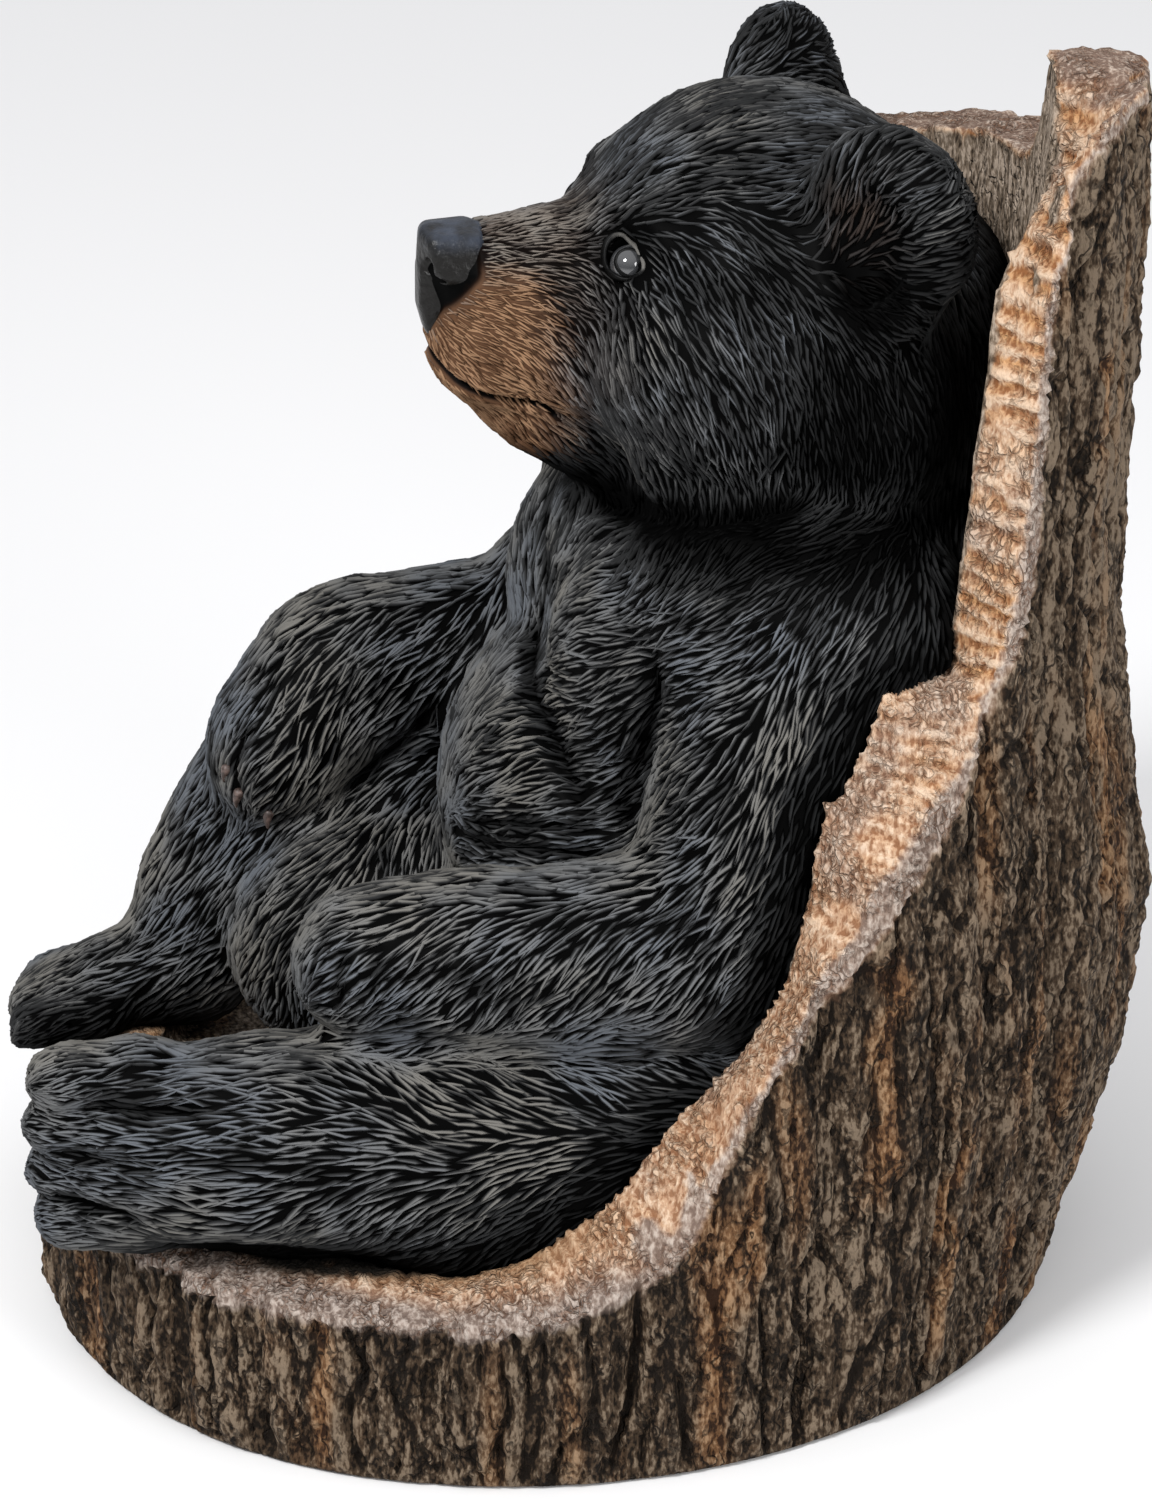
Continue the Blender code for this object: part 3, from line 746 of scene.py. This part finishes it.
# Combing lines of each coat, which run the way that the fur grows, in mm. The first table holds for both
# sides.
even_combing = {
    "head": (
        ((3, -28, 342), (4, 0, 345), (6, 20, 354), (8, 48, 368), (10, 88, 374), (12, 124, 352),
         (12, 138, 300)),
        ((13, -22, 338), (19, -4, 337), (26, 10, 346), (34, 32, 358), (46, 58, 364), (52, 90, 362)),
        ((14, -26, 330), (19, -12, 329), (25, 2, 326), (33, 10, 318), (42, 16, 304), (50, 20, 286),
         (52, 22, 270)),
        ((12, -33, 318), (19, -20, 314), (24, -8, 309), (28, 0, 301), (34, 6, 290), (38, 10, 276)),
        ((6, -37, 310), (14, -30, 305), (20, -18, 299), (24, -6, 295)),
        ((30, 12, 332), (42, 18, 322), (54, 24, 306), (62, 28, 288), (64, 30, 272)),
        ((36, 28, 342), (50, 34, 334), (64, 42, 318), (73, 50, 300), (74, 52, 280)),
        ((42, 44, 350), (60, 54, 342), (73, 64, 324), (78, 70, 304), (76, 74, 282)),
        ((80, 84, 318), (82, 90, 296), (76, 92, 276)),
        ((9, -31, 300), (10, -29, 291), (13, -18, 283), (18, 0, 268)),
        ((16, -23, 296), (16, -21, 288), (18, -12, 281)),
        ((20, -13, 291), (21, -11, 284), (25, 3, 270)),
        ((2, -34, 302), (2, -26, 290), (2, -10, 276), (2, 12, 256)),
        ((60, 72, 352), (60, 76, 386)),
        ((66, 76, 350), (86, 94, 374)),
        ((72, 82, 346), (92, 104, 352)),
        ((72, 84, 338), (88, 104, 326)),
        ((52, 68, 360), (46, 78, 378)),
        ((50, 110, 360), (56, 118, 330), (60, 116, 290)),
    ),
    "body": (
        ((76, 88, 276), (74, 58, 260), (62, 30, 246), (40, 14, 232), (24, 6, 222)),
        ((84, 46, 246), (73, 18, 230), (45, 4, 213), (22, -8, 203)),
        ((22, 10, 240), (10, -2, 218), (4, -10, 200)),
        ((90, 38, 226), (72, 16, 206), (60, 4, 191)),
        ((44, -4, 196), (30, -14, 184), (18, -24, 170)),
        ((60, -2, 178), (44, -16, 170), (22, -28, 163)),
        ((62, -4, 158), (40, -20, 155), (14, -34, 151)),
        ((2, 24, 250), (2, 10, 220), (2, 0, 190), (2, -22, 168), (2, -34, 150)),
        ((60, -6, 140), (34, -34, 134), (4, -44, 128)),
        ((4, -46, 112), (4, -54, 90), (4, -50, 60)),
        ((98, 70, 180), (98, 60, 140), (94, 44, 100)),
        ((20, 136, 260), (20, 140, 160)),
        ((92, 100, 250), (98, 96, 180)),
    ),
}
single_combing = {
    "arms": (
        ((80, 88, 264), (96, 66, 242), (106, 50, 216)),
        ((106, 62, 214), (112, 54, 186), (112, 48, 160)),
        ((108, 64, 190), (106, 64, 150), (96, 62, 124)),
        ((112, 44, 172), (110, 26, 150), (104, 8, 128)),
        ((110, 14, 168), (107, -6, 148), (100, -24, 128)),
        ((106, -16, 168), (103, -36, 148), (97, -54, 128)),
        ((99, -46, 164), (96, -66, 146), (90, -80, 130)),
        ((90, 20, 178), (86, -20, 172), (82, -56, 170), (78, -84, 156), (78, -92, 140)),
        ((62, 30, 166), (58, -20, 152), (58, -64, 142)),
        ((-58, 50, 216), (-66, 10, 207), (-68, -30, 203), (-66, -62, 194), (-58, -92, 166),
         (-56, -96, 148)),
        ((-42, 22, 200), (-44, 0, 176), (-46, -20, 160)),
        ((-42, -10, 198), (-45, -30, 176), (-48, -50, 154)),
        ((-42, -36, 196), (-42, -56, 172), (-42, -74, 146)),
        ((-92, 30, 196), (-98, -10, 180), (-96, -50, 158), (-84, -76, 142)),
    ),
    "legs": (
        ((116, 60, 100), (120, 14, 101), (118, -20, 101), (113, -58, 102)),
        ((117, 34, 106), (113, 6, 126)),
        ((116, 2, 107), (108, -24, 126)),
        ((114, -30, 108), (104, -54, 126)),
        ((108, -62, 108), (98, -76, 126)),
        ((118, 50, 94), (120, 22, 72), (114, 6, 52)),
        ((120, 10, 96), (119, -20, 76), (113, -42, 56)),
        ((117, -32, 96), (114, -62, 76), (108, -84, 56)),
        ((110, -72, 94), (107, -100, 76), (102, -118, 58)),
        ((108, -80, 106), (102, -126, 108), (90, -170, 108)),
        ((108, -104, 90), (102, -140, 88), (90, -172, 90)),
        ((104, -108, 78), (100, -140, 72), (90, -168, 68)),
        ((80, -30, 128), (82, -80, 127), (82, -130, 128), (82, -166, 122)),
        ((52, -20, 104), (52, -80, 98), (58, -150, 96)),
        ((-54, 10, 138), (-70, -34, 158), (-78, -66, 158)),
        ((-78, -84, 150), (-78, -108, 116), (-74, -126, 92), (-70, -158, 78)),
        ((-54, -66, 132), (-54, -88, 104), (-54, -110, 80), (-52, -146, 68)),
        ((-104, -66, 130), (-104, -90, 100), (-96, -118, 76), (-92, -150, 68)),
        ((-20, 0, 112), (-36, -50, 106), (-46, -74, 96)),
        ((-70, -50, 96), (-66, -80, 70)),
    ),
}


def combing_lines():
    """Every combing line with the name of its coat, those of the first table once for each side."""
    for side, table in ((1, single_combing), (1, even_combing), (-1, even_combing)):
        for group, lines in table.items():
            for line in lines:
                yield group, np.array(line, float) * (side, 1, 1)


def combed(points, normals):
    """The way that the fur lies at each point, and the number of the combing line that is nearest."""
    flow = np.zeros((len(points), 3))
    least = np.full(len(points), np.inf)
    owner = np.zeros(len(points), int)
    for number, (_, line) in enumerate(combing_lines()):
        for start, end in zip(line, line[1:]):
            span = end - start
            share = np.clip((points / mm - start) @ span / (span @ span), 0, 1)
            away = points / mm - start - share[:, None] * span
            distance = np.sqrt((away**2).sum(1) + 2 * np.minimum(0, (away * normals).sum(1)) ** 2)
            pull = 1 / (1 + (distance / comb_reach) ** 4)
            flow += pull[:, None] * span / np.linalg.norm(span)
            closer = distance < least
            least[closer] = distance[closer]
            owner[closer] = number
    return tangent(flow, normals), owner


def tangent(ways, normals):
    """The ways, laid flat on the surface and made one unit long."""
    flat = ways - (ways * normals).sum(1)[:, None] * normals
    return flat / np.maximum(np.linalg.norm(flat, axis=1), 1e-6)[:, None]


def fineness(points):
    """1 over the body, less on the head and toes and about half on the muzzle."""
    nose_gap = np.linalg.norm(points - np.array((0, -30, 322)) * mm, axis=1)
    muzzle = 0.5 + 0.36 * smooth_step(nose_gap, 14 * mm, 80 * mm)
    below_head = 0.86 + 0.14 * smooth_step(-points[:, 2], -270 * mm, -240 * mm)
    head = np.where(points[:, 2] > 270 * mm, muzzle, below_head)
    toes = 0.75 + 0.25 * smooth_step(points[:, 1], -160 * mm, -130 * mm)
    return np.minimum(head, toes)


def scattered(mesh, count, dice):
    """Random places all over the mesh, closer together where the fur is finer."""
    mesh.calc_loop_triangles()
    corners = np.empty(3 * len(mesh.loop_triangles), np.int32)
    mesh.loop_triangles.foreach_get("vertices", corners)
    a, b, c = points_of(mesh)[corners.reshape(-1, 3)].transpose(1, 0, 2)
    room = np.linalg.norm(np.cross(b - a, c - a), axis=1) / fineness((a + b + c) / 3) ** 2
    picked = dice.choice(len(room), count, p=room / room.sum())
    first, second = dice.random((2, count, 1))
    outside = first + second > 1
    first, second = np.where(outside, 1 - first, first), np.where(outside, 1 - second, second)
    return a[picked] + first * (b - a)[picked] + second * (c - a)[picked]


def clear_of_wood(places, normals):
    """Tells which places have room for fur between the skin and the stump."""
    free = []
    for place, normal in zip(places.tolist(), normals.tolist()):
        _, _, _, distance = wood_tree.find_nearest(place)
        _, _, _, ahead = wood_tree.ray_cast(Vector(place), Vector(normal), room_ahead)
        free.append(distance > least_room and ahead is None)
    return np.array(free)


def spaced_out(places, flow, size, dice):
    """Picks places that lie side by side along the flow: close across it and further apart along it."""
    neighbours = KDTree(len(places))
    for number, place in enumerate(places.tolist()):
        neighbours.insert(place, number)
    neighbours.balance()
    free = np.ones(len(places), bool)
    kept = []
    for number in dice.permutation(len(places)).tolist():
        if not free[number]:
            continue
        kept.append(number)
        own_flow = Vector(flow[number])
        own_place = Vector(places[number])
        across_limit = (spacing_across * size[number]) ** 2
        along_limit = (spacing_along * size[number]) ** 2
        for place, other, distance in neighbours.find_range(own_place, spacing_along * size[number]):
            along = (place - own_place).dot(own_flow) ** 2
            if along / along_limit + (distance * distance - along) / across_limit < 1:
                free[other] = False
    return np.array(sorted(kept))


def crowds_face(points, room):
    """Tells which places lie too close to the mouth, the lids or the bead of an eye for fur."""
    left = to_left(points)
    mouth_room, lid_room = room
    crowded = line_distance(left, mouth_path / mm)[0] < mouth_room
    crowded |= line_distance(left, lid_path / mm)[0] < lid_room
    crowded |= line_distance(left, opening_path / mm)[0] < opening_room
    return crowded | (np.linalg.norm(left - eye_middle, axis=1) < bead_room)


def free_length(roots, ways, lengths):
    """The share of each lock's length that stays short of the mouth and of the eye."""
    share_left = np.ones(len(roots))
    for share in (1.0, 0.85, 0.7, 0.55, 0.4):
        share_left[crowds_face(roots + ways * (lengths * share)[:, None], lock_room)] = share - 0.15
    return share_left


def fur_piece(name, chosen, brushing, dice):
    """A coat of locks as one mesh, brushed more or less: eight points and twelve triangles for each lock."""
    count = len(chosen)
    size = fur_size[chosen]
    length = lock_length * size * dice.uniform(0.7, 1.3, count)
    width = lock_half_width * size * dice.uniform(0.8, 1.25, count)
    lift = lock_lift * size * dice.uniform(0.75, 1.3, count)
    length *= free_length(fur_roots[chosen], fur_flow[chosen], length)
    bend = dice.normal(0, 0.16, count)
    here, normal, way = fur_roots[chosen], fur_normals[chosen], fur_flow[chosen]
    corners = [here - normal * lock_sink]
    shades = []
    for step, height_share, width_share in lock_steps:
        here, normal = on_surface(here + way * (length * step)[:, None], skin_tree)
        nearest = [root_tree.find(place)[1] for place in here.tolist()]
        way = tangent(fur_flow[nearest], normal)
        shades.append(shade_at(here))
        across = np.cross(normal, way)
        way = way + across * bend[:, None]
        crest = here + normal * (lift * height_share)[:, None]
        if width_share == 0:
            corners.append(crest)
            continue
        low = here - normal * (lock_sink * size)[:, None]
        wide = across * (width * width_share)[:, None]
        corners += [low - wide, crest, low + wide]
    places = np.stack(corners, axis=1).reshape(-1, 3)
    faces = []
    for first in range(0, lock_points * count, lock_points):
        root, left, crest, right, far_left, far_crest, far_right, end = range(first, first + lock_points)
        faces += [(root, crest, left), (root, right, crest), (root, left, right)]
        faces += [(left, crest, far_crest, far_left), (crest, right, far_right, far_crest)]
        faces += [(left, far_left, far_right, right)]
        faces += [(far_left, far_crest, end), (far_crest, far_right, end), (far_left, end, far_right)]
    mesh = bpy.data.meshes.new(name)
    mesh.from_pydata(np.clip(places, cad_box[0], cad_box[1]).tolist(), [], faces)
    tone = brushing * dice.uniform(0.62, 1.0, count)
    # Each crest is brushed less where shade_at puts painted shade
    near_crest, far_crest, end_crest = (tone * (1 - 0.9 * shade) for shade in shades)
    flank, far_flank = flank_share * near_crest, flank_share * far_crest
    shine = (0 * flank, flank, near_crest, flank, far_flank, far_crest, far_flank, 0.6 * end_crest)
    tan = np.maximum(tan_at(fur_roots[chosen]), ear_tuft_tan * near(fur_roots[chosen], ear_tuft, 9))
    paint(mesh, "relief", (np.stack(shine, axis=1) + 0.12 * tan[:, None]).ravel())
    paint(mesh, "tan", np.repeat(tan, lock_points))
    piece = new_object(name, mesh)
    finish_piece(piece, fur_paint)
    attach(piece, "root")


def shade_at(points):
    """Share of painted shade at each point, laid as unbrushed black: in folds and ears, round the eyes,
    below the cheeks and near the stump.
    """
    side, forward, high = to_left(points).T / mm
    folds = face_folds[[skin_tree.find_nearest(place)[2] for place in points.tolist()]]
    ear = near(points, ear_pit, 12)
    ears = 0.1 * smooth_step(high + 0.35 * forward, 348, 362) * smooth_step(side, 44, 56)
    head = 0.2 * smooth_step(high, 270, 290) * (1 - tan_at(points))
    eye = 0.7 * near(points, eye_pit, 7)
    throat = 0.85 * bell((high - 266) / 12) * (forward > -20)
    neck = 0.6 * smooth_step(forward, 44, 76) * smooth_step(high, 235, 262) * smooth_fall(high, 308, 330)
    bridge = 0.38 * smooth_step(high, 324, 334) * smooth_fall(forward, -6, 18) * (side < 30)
    # Painted shade on fur close to the stump's wall
    wood_gaps = np.array([wood_tree.find_nearest(place)[3] for place in points.tolist()])
    shade_by_wood = 0.8 * smooth_fall(wood_gaps, 3 * mm, 20 * mm)
    dark = np.maximum(np.maximum(throat, neck), shade_by_wood)
    return np.clip(ear + eye + 0.95 * folds + dark + head + ears - bridge, -0.3, 1)


def closed_curve(places, steps):
    """Places along a smooth closed curve through the given ones, so many from each to the next."""
    places = np.array(places, float)
    before, after, beyond = (np.roll(places, shift, axis=0) for shift in (1, -1, -2))
    curve = []
    for step in range(steps):
        t = step / steps
        curve.append(
            0.5 * (2 * places + (after - before) * t + (2 * before - 5 * places + 4 * after - beyond) * t**2
                   + (3 * places - before - 3 * after + beyond) * t**3)
        )
    return np.stack(curve, axis=1).reshape(-1, places.shape[1])


def over_eye(places):
    """Lays places over the skin and the bead: mm behind and above the left bead's middle, from the side."""
    aside = np.array([side_view_back * back + side_view_up * above for back, above in places]) * mm
    depths = []
    for offset in aside:
        hit = skin_tree.ray_cast(Vector(eye_middle + offset + 30 * mm * side_view), Vector(-side_view))[0]
        room = (eye_radius + lid_clearance) ** 2 - offset @ offset
        depths.append(max((np.array(hit) - eye_middle) @ side_view, math.sqrt(max(0, room))))
    return eye_middle + aside + np.array(depths)[:, None] * side_view


lid_path = over_eye(closed_curve(lid_edge, 5))
lid_path = np.concatenate((lid_path, lid_path[:1]))
opening_path = over_eye(opening_line)
wood_tree = surface_tree(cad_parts["stump"].data)
dice = np.random.default_rng(fur_seed)
fur_roots, fur_normals = on_surface(scattered(skin.data, candidate_count, dice), skin_tree)
keep = clear_of_wood(fur_roots, fur_normals)
keep &= bare_lip_at(fur_roots) < 0.5
keep &= ~crowds_face(fur_roots, root_room)
keep &= np.linalg.norm(to_left(fur_roots) - eye_pit, axis=1) > eye_pit_room
fur_roots, fur_normals = fur_roots[keep], fur_normals[keep]
fur_flow, owners = combed(fur_roots, fur_normals)
turn = 0.3 * cloud(fur_roots, 15 * mm, 71.0) + 0.15 * cloud(fur_roots, 6 * mm, 72.0)
turn *= np.clip(fineness(fur_roots) * 1.4 - 0.5, 0.2, 1)
turn += 0.06 * dice.normal(0, 1, len(fur_roots))
fur_flow = fur_flow * np.cos(turn)[:, None] + np.cross(fur_normals, fur_flow) * np.sin(turn)[:, None]
fur_size = fineness(fur_roots)
kept = spaced_out(fur_roots, fur_flow, fur_size, dice)
fur_roots, fur_normals, fur_flow, fur_size = (
    values[kept] for values in (fur_roots, fur_normals, fur_flow, fur_size)
)
root_tree = KDTree(len(fur_roots))
for number, place in enumerate(fur_roots.tolist()):
    root_tree.insert(place, number)
root_tree.balance()
groups = np.array([group for group, _ in combing_lines()])[owners[kept]]
for group, brushing in coats.items():
    fur_piece(group + "_fur", np.flatnonzero(groups == group), brushing, dice)


# The nose: part of the bear's casting, bare of fur, with nostrils cut under its wings. It is painted blue
# black and varnished, and its top is painted a lighter blue: a painted sheen.

nose_grain = 0.5 * mm
nose_black = (0.0075, 0.007, 0.0065)
# The lighter blue is a painted sheen on the top of the nose
nose_sheen_blue = (0.036, 0.044, 0.062)
sheen_heights = (335 * mm, 342 * mm)


def ball(sculpt, centre, radii, turn=0):
    """An egg shape, by its centre and three radii in mm, turned about the upright axis."""
    size = Matrix.Diagonal((*(radius * mm for radius in radii), 1))
    tilt = Matrix.Rotation(math.radians(turn), 4, "Z")
    matrix = Matrix.Translation(Vector(centre) * mm) @ tilt @ size
    bmesh.ops.create_uvsphere(sculpt, u_segments=40, v_segments=24, radius=1, matrix=matrix)


def object_from(name, sculpt):
    """An object made of what was modelled in the sculpt."""
    mesh = bpy.data.meshes.new(name)
    sculpt.to_mesh(mesh)
    sculpt.free()
    return new_object(name, mesh)


def wrapped(sculpt, balls):
    """Adds the tight wrap round some balls, each given by its place on both sides and its radius in mm."""
    wrap = bmesh.new()
    for side in (-1, 1):
        for (x, y, z), radius in balls:
            ball(wrap, (side * x, y, z), (radius, radius, radius))
    bmesh.ops.delete(wrap, geom=wrap.faces[:] + wrap.edges[:], context="EDGES_FACES")
    bmesh.ops.convex_hull(wrap, input=wrap.verts)
    bmesh.ops.delete(wrap, geom=[corner for corner in wrap.verts if not corner.link_faces], context="VERTS")
    shape = bpy.data.meshes.new("wrap")
    wrap.to_mesh(shape)
    wrap.free()
    sculpt.from_mesh(shape)
    bpy.data.meshes.remove(shape)


pad_balls = (
    ((0, -33.2, 339.0), 3.8), ((0, -33.4, 332.0), 4.2), ((7.0, -32.6, 338.2), 3.2),
    ((9.2, -30.2, 330.4), 3.6), ((9.6, -24.8, 329.8), 4.0), ((7.6, -22.5, 337.4), 4.2),
    ((0, -20.5, 338.4), 4.2),
)
septum_balls = (
    ((2.6, -34.4, 330), 3.1), ((2.8, -34.7, 318.5), 2.9), ((2.4, -33.4, 311.8), 2.5), ((3.0, -29, 320), 4.0),
)

# The round hole and the slit of each nostril: place on the left side, radii, and turn in degrees
nostril_balls = (((6.8, -36.6, 331.6), (2.2, 5.0, 3.4), -20), ((9.6, -33.2, 328.6), (3.4, 4.6, 1.0), 30))

pad = bmesh.new()
wrapped(pad, pad_balls)
wrapped(pad, septum_balls)
nose = object_from("nose", pad)
melted(nose, nose_grain, 14)
holes = bmesh.new()
for side in (-1, 1):
    for (x, y, z), radii, turn in nostril_balls:
        ball(holes, (side * x, y, z), radii, side * turn)
nostrils = object_from("nostrils", holes)
melted(nostrils, nose_grain, 0)
opened = nose.modifiers.new("nostrils", "BOOLEAN")
opened.operation = "DIFFERENCE"
opened.object = nostrils
settle(nose)
melted(nose, nose_grain, 2)
bpy.data.objects.remove(nostrils)
move_points(nose.data, points_of(nose.data))
# The top of the nose gets the lighter blue: a painted sheen
paint(nose.data, "relief", smooth_step(points_of(nose.data)[:, 2], *sheen_heights))

nose_paint, tree, shader = new_material("varnished_nose", 0.36, 0.2)
leather = speckle(tree, 430, 4.0)
sheen_share = times(tree, stepped(tree, speckle(tree, 130, 3.0), 0.25, 0.7), mask(tree, "relief"))
feed(tree, shader.inputs["Base Color"], blend_colours(tree, sheen_share, nose_black, nose_sheen_blue))
pores = add_node(tree, "ShaderNodeBump", Strength=0.8, Distance=0.9 * mm, Height=leather)
feed(tree, shader.inputs["Normal"], pores.outputs[0])
finish_piece(nose, nose_paint)
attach(nose, "root")


# The eyes: glossy dark beads of plastic pressed into sockets of the casting. The rim of each socket and
# the lids are moulded round its bead and painted black, with a touch of grey brush as a painted highlight
# along the upper back edge of the lids.

socket_segments = 64
socket_profile = ((-2, -0.6), (0, 0.2), (8, 0.25), (22, -0.3), (34, -1.6), (16, -1.4))
lid_profile = ((-0.8, -1.2), (-0.5, 0.25), (0.0, 0.6), (0.5, 0.35), (1.3, -1.1), (0.2, -2.0))
bead_way = Vector((0.85, -0.18, 0.44)).normalized()
lid_paints = ((0.001, 0.001, 0.001), (0.010, 0.010, 0.010), (0.115, 0.110, 0.101))

eye_paint, tree, shader = new_material("eye_bead", 0.08)
feed(tree, shader.inputs["Base Color"], (0.040, 0.041, 0.043))
shader.inputs["Coat Weight"].default_value = 1.0
shader.inputs["Coat Roughness"].default_value = 0.02

lid_paint, tree, shader = new_material("eyelid_paint", 0.45, 0.1)
feed(tree, shader.inputs["Base Color"], brushed(tree, mask(tree, "relief"), 300.0, lid_paints))


def tube(sculpt, rings):
    """Skins a closed row of closed rings."""
    rings = [[sculpt.verts.new(place) for place in ring] for ring in rings]
    for ring, following in zip(rings, rings[1:] + rings[:1]):
        for number in range(len(ring)):
            beyond = (number + 1) % len(ring)
            sculpt.faces.new((ring[number], ring[beyond], following[beyond], following[number]))


def socket_rings():
    """The black rim of the left socket, which hugs the bead and leaves an oval of it bare."""
    long_way = Vector((0.30, 0.70, -0.62))
    long_way = (long_way - long_way.dot(bead_way) * bead_way).normalized()
    short_way = bead_way.cross(long_way)
    for step in range(socket_segments):
        turn = math.tau * step / socket_segments
        opening = 43 - 7 * abs(math.sin(turn)) ** 1.5
        radial = long_way * math.cos(turn) + short_way * math.sin(turn)
        ring = []
        for spread, proud in socket_profile:
            angle = math.radians(opening + spread)
            way = bead_way * math.cos(angle) + radial * math.sin(angle)
            ring.append(Vector(eye_middle) + way * (eye_radius + proud * mm))
        yield ring


def lid_rings():
    """The lids of the left eye: a thin roll that follows their edge over the skin."""
    places = lid_path[:-1]
    middle = places.mean(axis=0)
    spans = tangent(np.roll(places, -1, axis=0) - np.roll(places, 1, axis=0), side_view[None])
    ways = np.cross(spans, side_view)
    ways *= np.sign(((places - middle) * ways).sum(1))[:, None]
    for place, way in zip(places, ways):
        yield [Vector(place + (way * spread + side_view * proud) * mm) for spread, proud in lid_profile]


def eyelids(name, side):
    """The socket's rim and the lids of one eye as one mesh. The upper back edge of the lids is brushed
    lighter: a painted highlight.
    """
    sculpt = bmesh.new()
    socket = list(socket_rings())
    lids = list(lid_rings())
    tube(sculpt, socket)
    tube(sculpt, lids)
    shines = [0.0] * (len(socket) * len(socket_profile))
    for ring in lids:
        # Painted highlight: the lids grow lighter towards their upper back edge
        offset = np.array(ring[2]) - eye_middle
        back, above = offset @ side_view_back, offset @ side_view_up
        lit = 0.35 + (0.75 * back + 0.65 * above) / math.hypot(back, above)
        shines += [max(0, lit) * (number in (1, 2, 3)) for number in range(len(lid_profile))]
    if side < 0:
        bmesh.ops.scale(sculpt, vec=(-1, 1, 1), verts=sculpt.verts)
    bmesh.ops.recalc_face_normals(sculpt, faces=sculpt.faces)
    piece = object_from(name, sculpt)
    paint(piece.data, "relief", np.array(shines))
    return piece


for side, node in ((1, "left_eye"), (-1, "right_eye")):
    sculpt = bmesh.new()
    ball(sculpt, (side * eye_middle[0] / mm, eye_middle[1] / mm, eye_middle[2] / mm), [eye_radius / mm] * 3)
    bead = object_from(node + "_bead", sculpt)
    finish_piece(bead, eye_paint)
    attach(bead, "root")
    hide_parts(node)
    lids = eyelids(node + "_lids", side)
    finish_piece(lids, lid_paint)
    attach(lids, "root")


# The claws: little points at the ends of the right paw, moulded with the bear's casting and painted the
# colour of horn.

claw_length = 5.0
claw_radius = 1.8
claw_bend = 1.4
claw_steps = 6
claw_places = (
    ((-49, -92, 151), (-0.1, -0.5, -1)),
    ((-45, -89, 144), (0, -0.5, -1)),
    ((-43, -80, 137), (0.2, -0.4, -1)),
)
claw_dark = (0.035, 0.022, 0.018)
claw_horn = (0.13, 0.088, 0.075)

claw_paint, tree, shader = new_material("claw_paint", 0.5)
horn_share = stepped(tree, speckle(tree, 500, 3.0), 0.4, 0.7)
feed(tree, shader.inputs["Base Color"], blend_colours(tree, horn_share, claw_dark, claw_horn))
claws = bmesh.new()
for root, way in claw_places:
    way = Vector(way).normalized()
    for step in range(claw_steps + 1):
        share = step / claw_steps
        centre = Vector(root) + way * claw_length * share + Vector((0, claw_bend * share * share, 0))
        radius = claw_radius * (1 - 0.7 * share)
        ball(claws, centre, (radius, radius, radius))
claw_piece = object_from("right_paw_claws", claws)
melted(claw_piece, 0.4 * mm, 1)
finish_piece(claw_piece, claw_paint)
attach(claw_piece, "root")


# The room: a plain pale floor, a pale world, soft studio lights and the camera where the photograph was
# taken.

floor_sculpt = bmesh.new()
bmesh.ops.create_grid(floor_sculpt, x_segments=1, y_segments=1, size=6)
floor = object_from("floor", floor_sculpt)
floor_paint, tree, shader = new_material("pale_floor", 0.9)
feed(tree, shader.inputs["Base Color"], (0.78, 0.78, 0.78))
floor.data.materials.append(floor_paint)

# Soft light from above that fades towards the horizon, with a plain pale background
horizon_light = (0.12, 0.125, 0.135)
zenith_light = (1.05, 1.05, 1.07)
pale_background = (0.93, 0.93, 0.93)
world = bpy.data.worlds.new("studio")
bpy.context.scene.world = world
world.use_nodes = True
sky = world.node_tree
looked_at = sky.nodes.new("ShaderNodeTexCoord").outputs["Generated"]
way_up = add_node(sky, "ShaderNodeSeparateXYZ", Vector=looked_at).outputs["Z"]
dome = blend_colours(sky, stepped(sky, way_up, -0.2, 0.95), horizon_light, zenith_light)
seen = sky.nodes.new("ShaderNodeLightPath").outputs["Is Camera Ray"]
backdrop = blend_colours(sky, seen, dome, pale_background)
feed(sky, sky.nodes["Background"].inputs["Color"], backdrop)
feed(sky, sky.nodes["Background"].inputs["Strength"], 1.0)


def soft_light(name, place, aim, size, power):
    """A round lamp at its place, turned towards its aim."""
    lamp = bpy.data.lights.new(name, "AREA")
    lamp.shape = "DISK"
    lamp.size = size
    lamp.energy = power
    holder = new_object(name, lamp)
    holder.location = place
    holder.rotation_euler = (Vector(aim) - Vector(place)).to_track_quat("-Z", "Y").to_euler()


soft_light("key_light", (0.9, -1.0, 1.5), (0, 0, 0.2), 0.45, 30)
soft_light("fill_light", (1.6, 0.9, 0.9), (0, 0, 0.2), 0.8, 15)

camera_azimuth = 78
camera_elevation = 25
camera_distance = 1.4
camera_lens = 109.2
camera_target = Vector((0, 0.01, 0.17))
azimuth, elevation = math.radians(camera_azimuth), math.radians(camera_elevation)
backward = Vector((
    math.sin(azimuth) * math.cos(elevation),
    -math.cos(azimuth) * math.cos(elevation),
    math.sin(elevation),
))
rightward = Vector((math.cos(azimuth), math.sin(azimuth), 0))
upward = backward.cross(rightward)
camera = new_object("camera", bpy.data.cameras.new("camera"))
camera.data.sensor_fit = "VERTICAL"
camera.data.sensor_height = 36
camera.data.lens = camera_lens
camera.matrix_world = (
    Matrix.Translation(camera_target + backward * camera_distance)
    @ Matrix((rightward, upward, backward)).transposed().to_4x4()
)
bpy.context.scene.camera = camera
bpy.context.scene.view_settings.view_transform = "Standard"
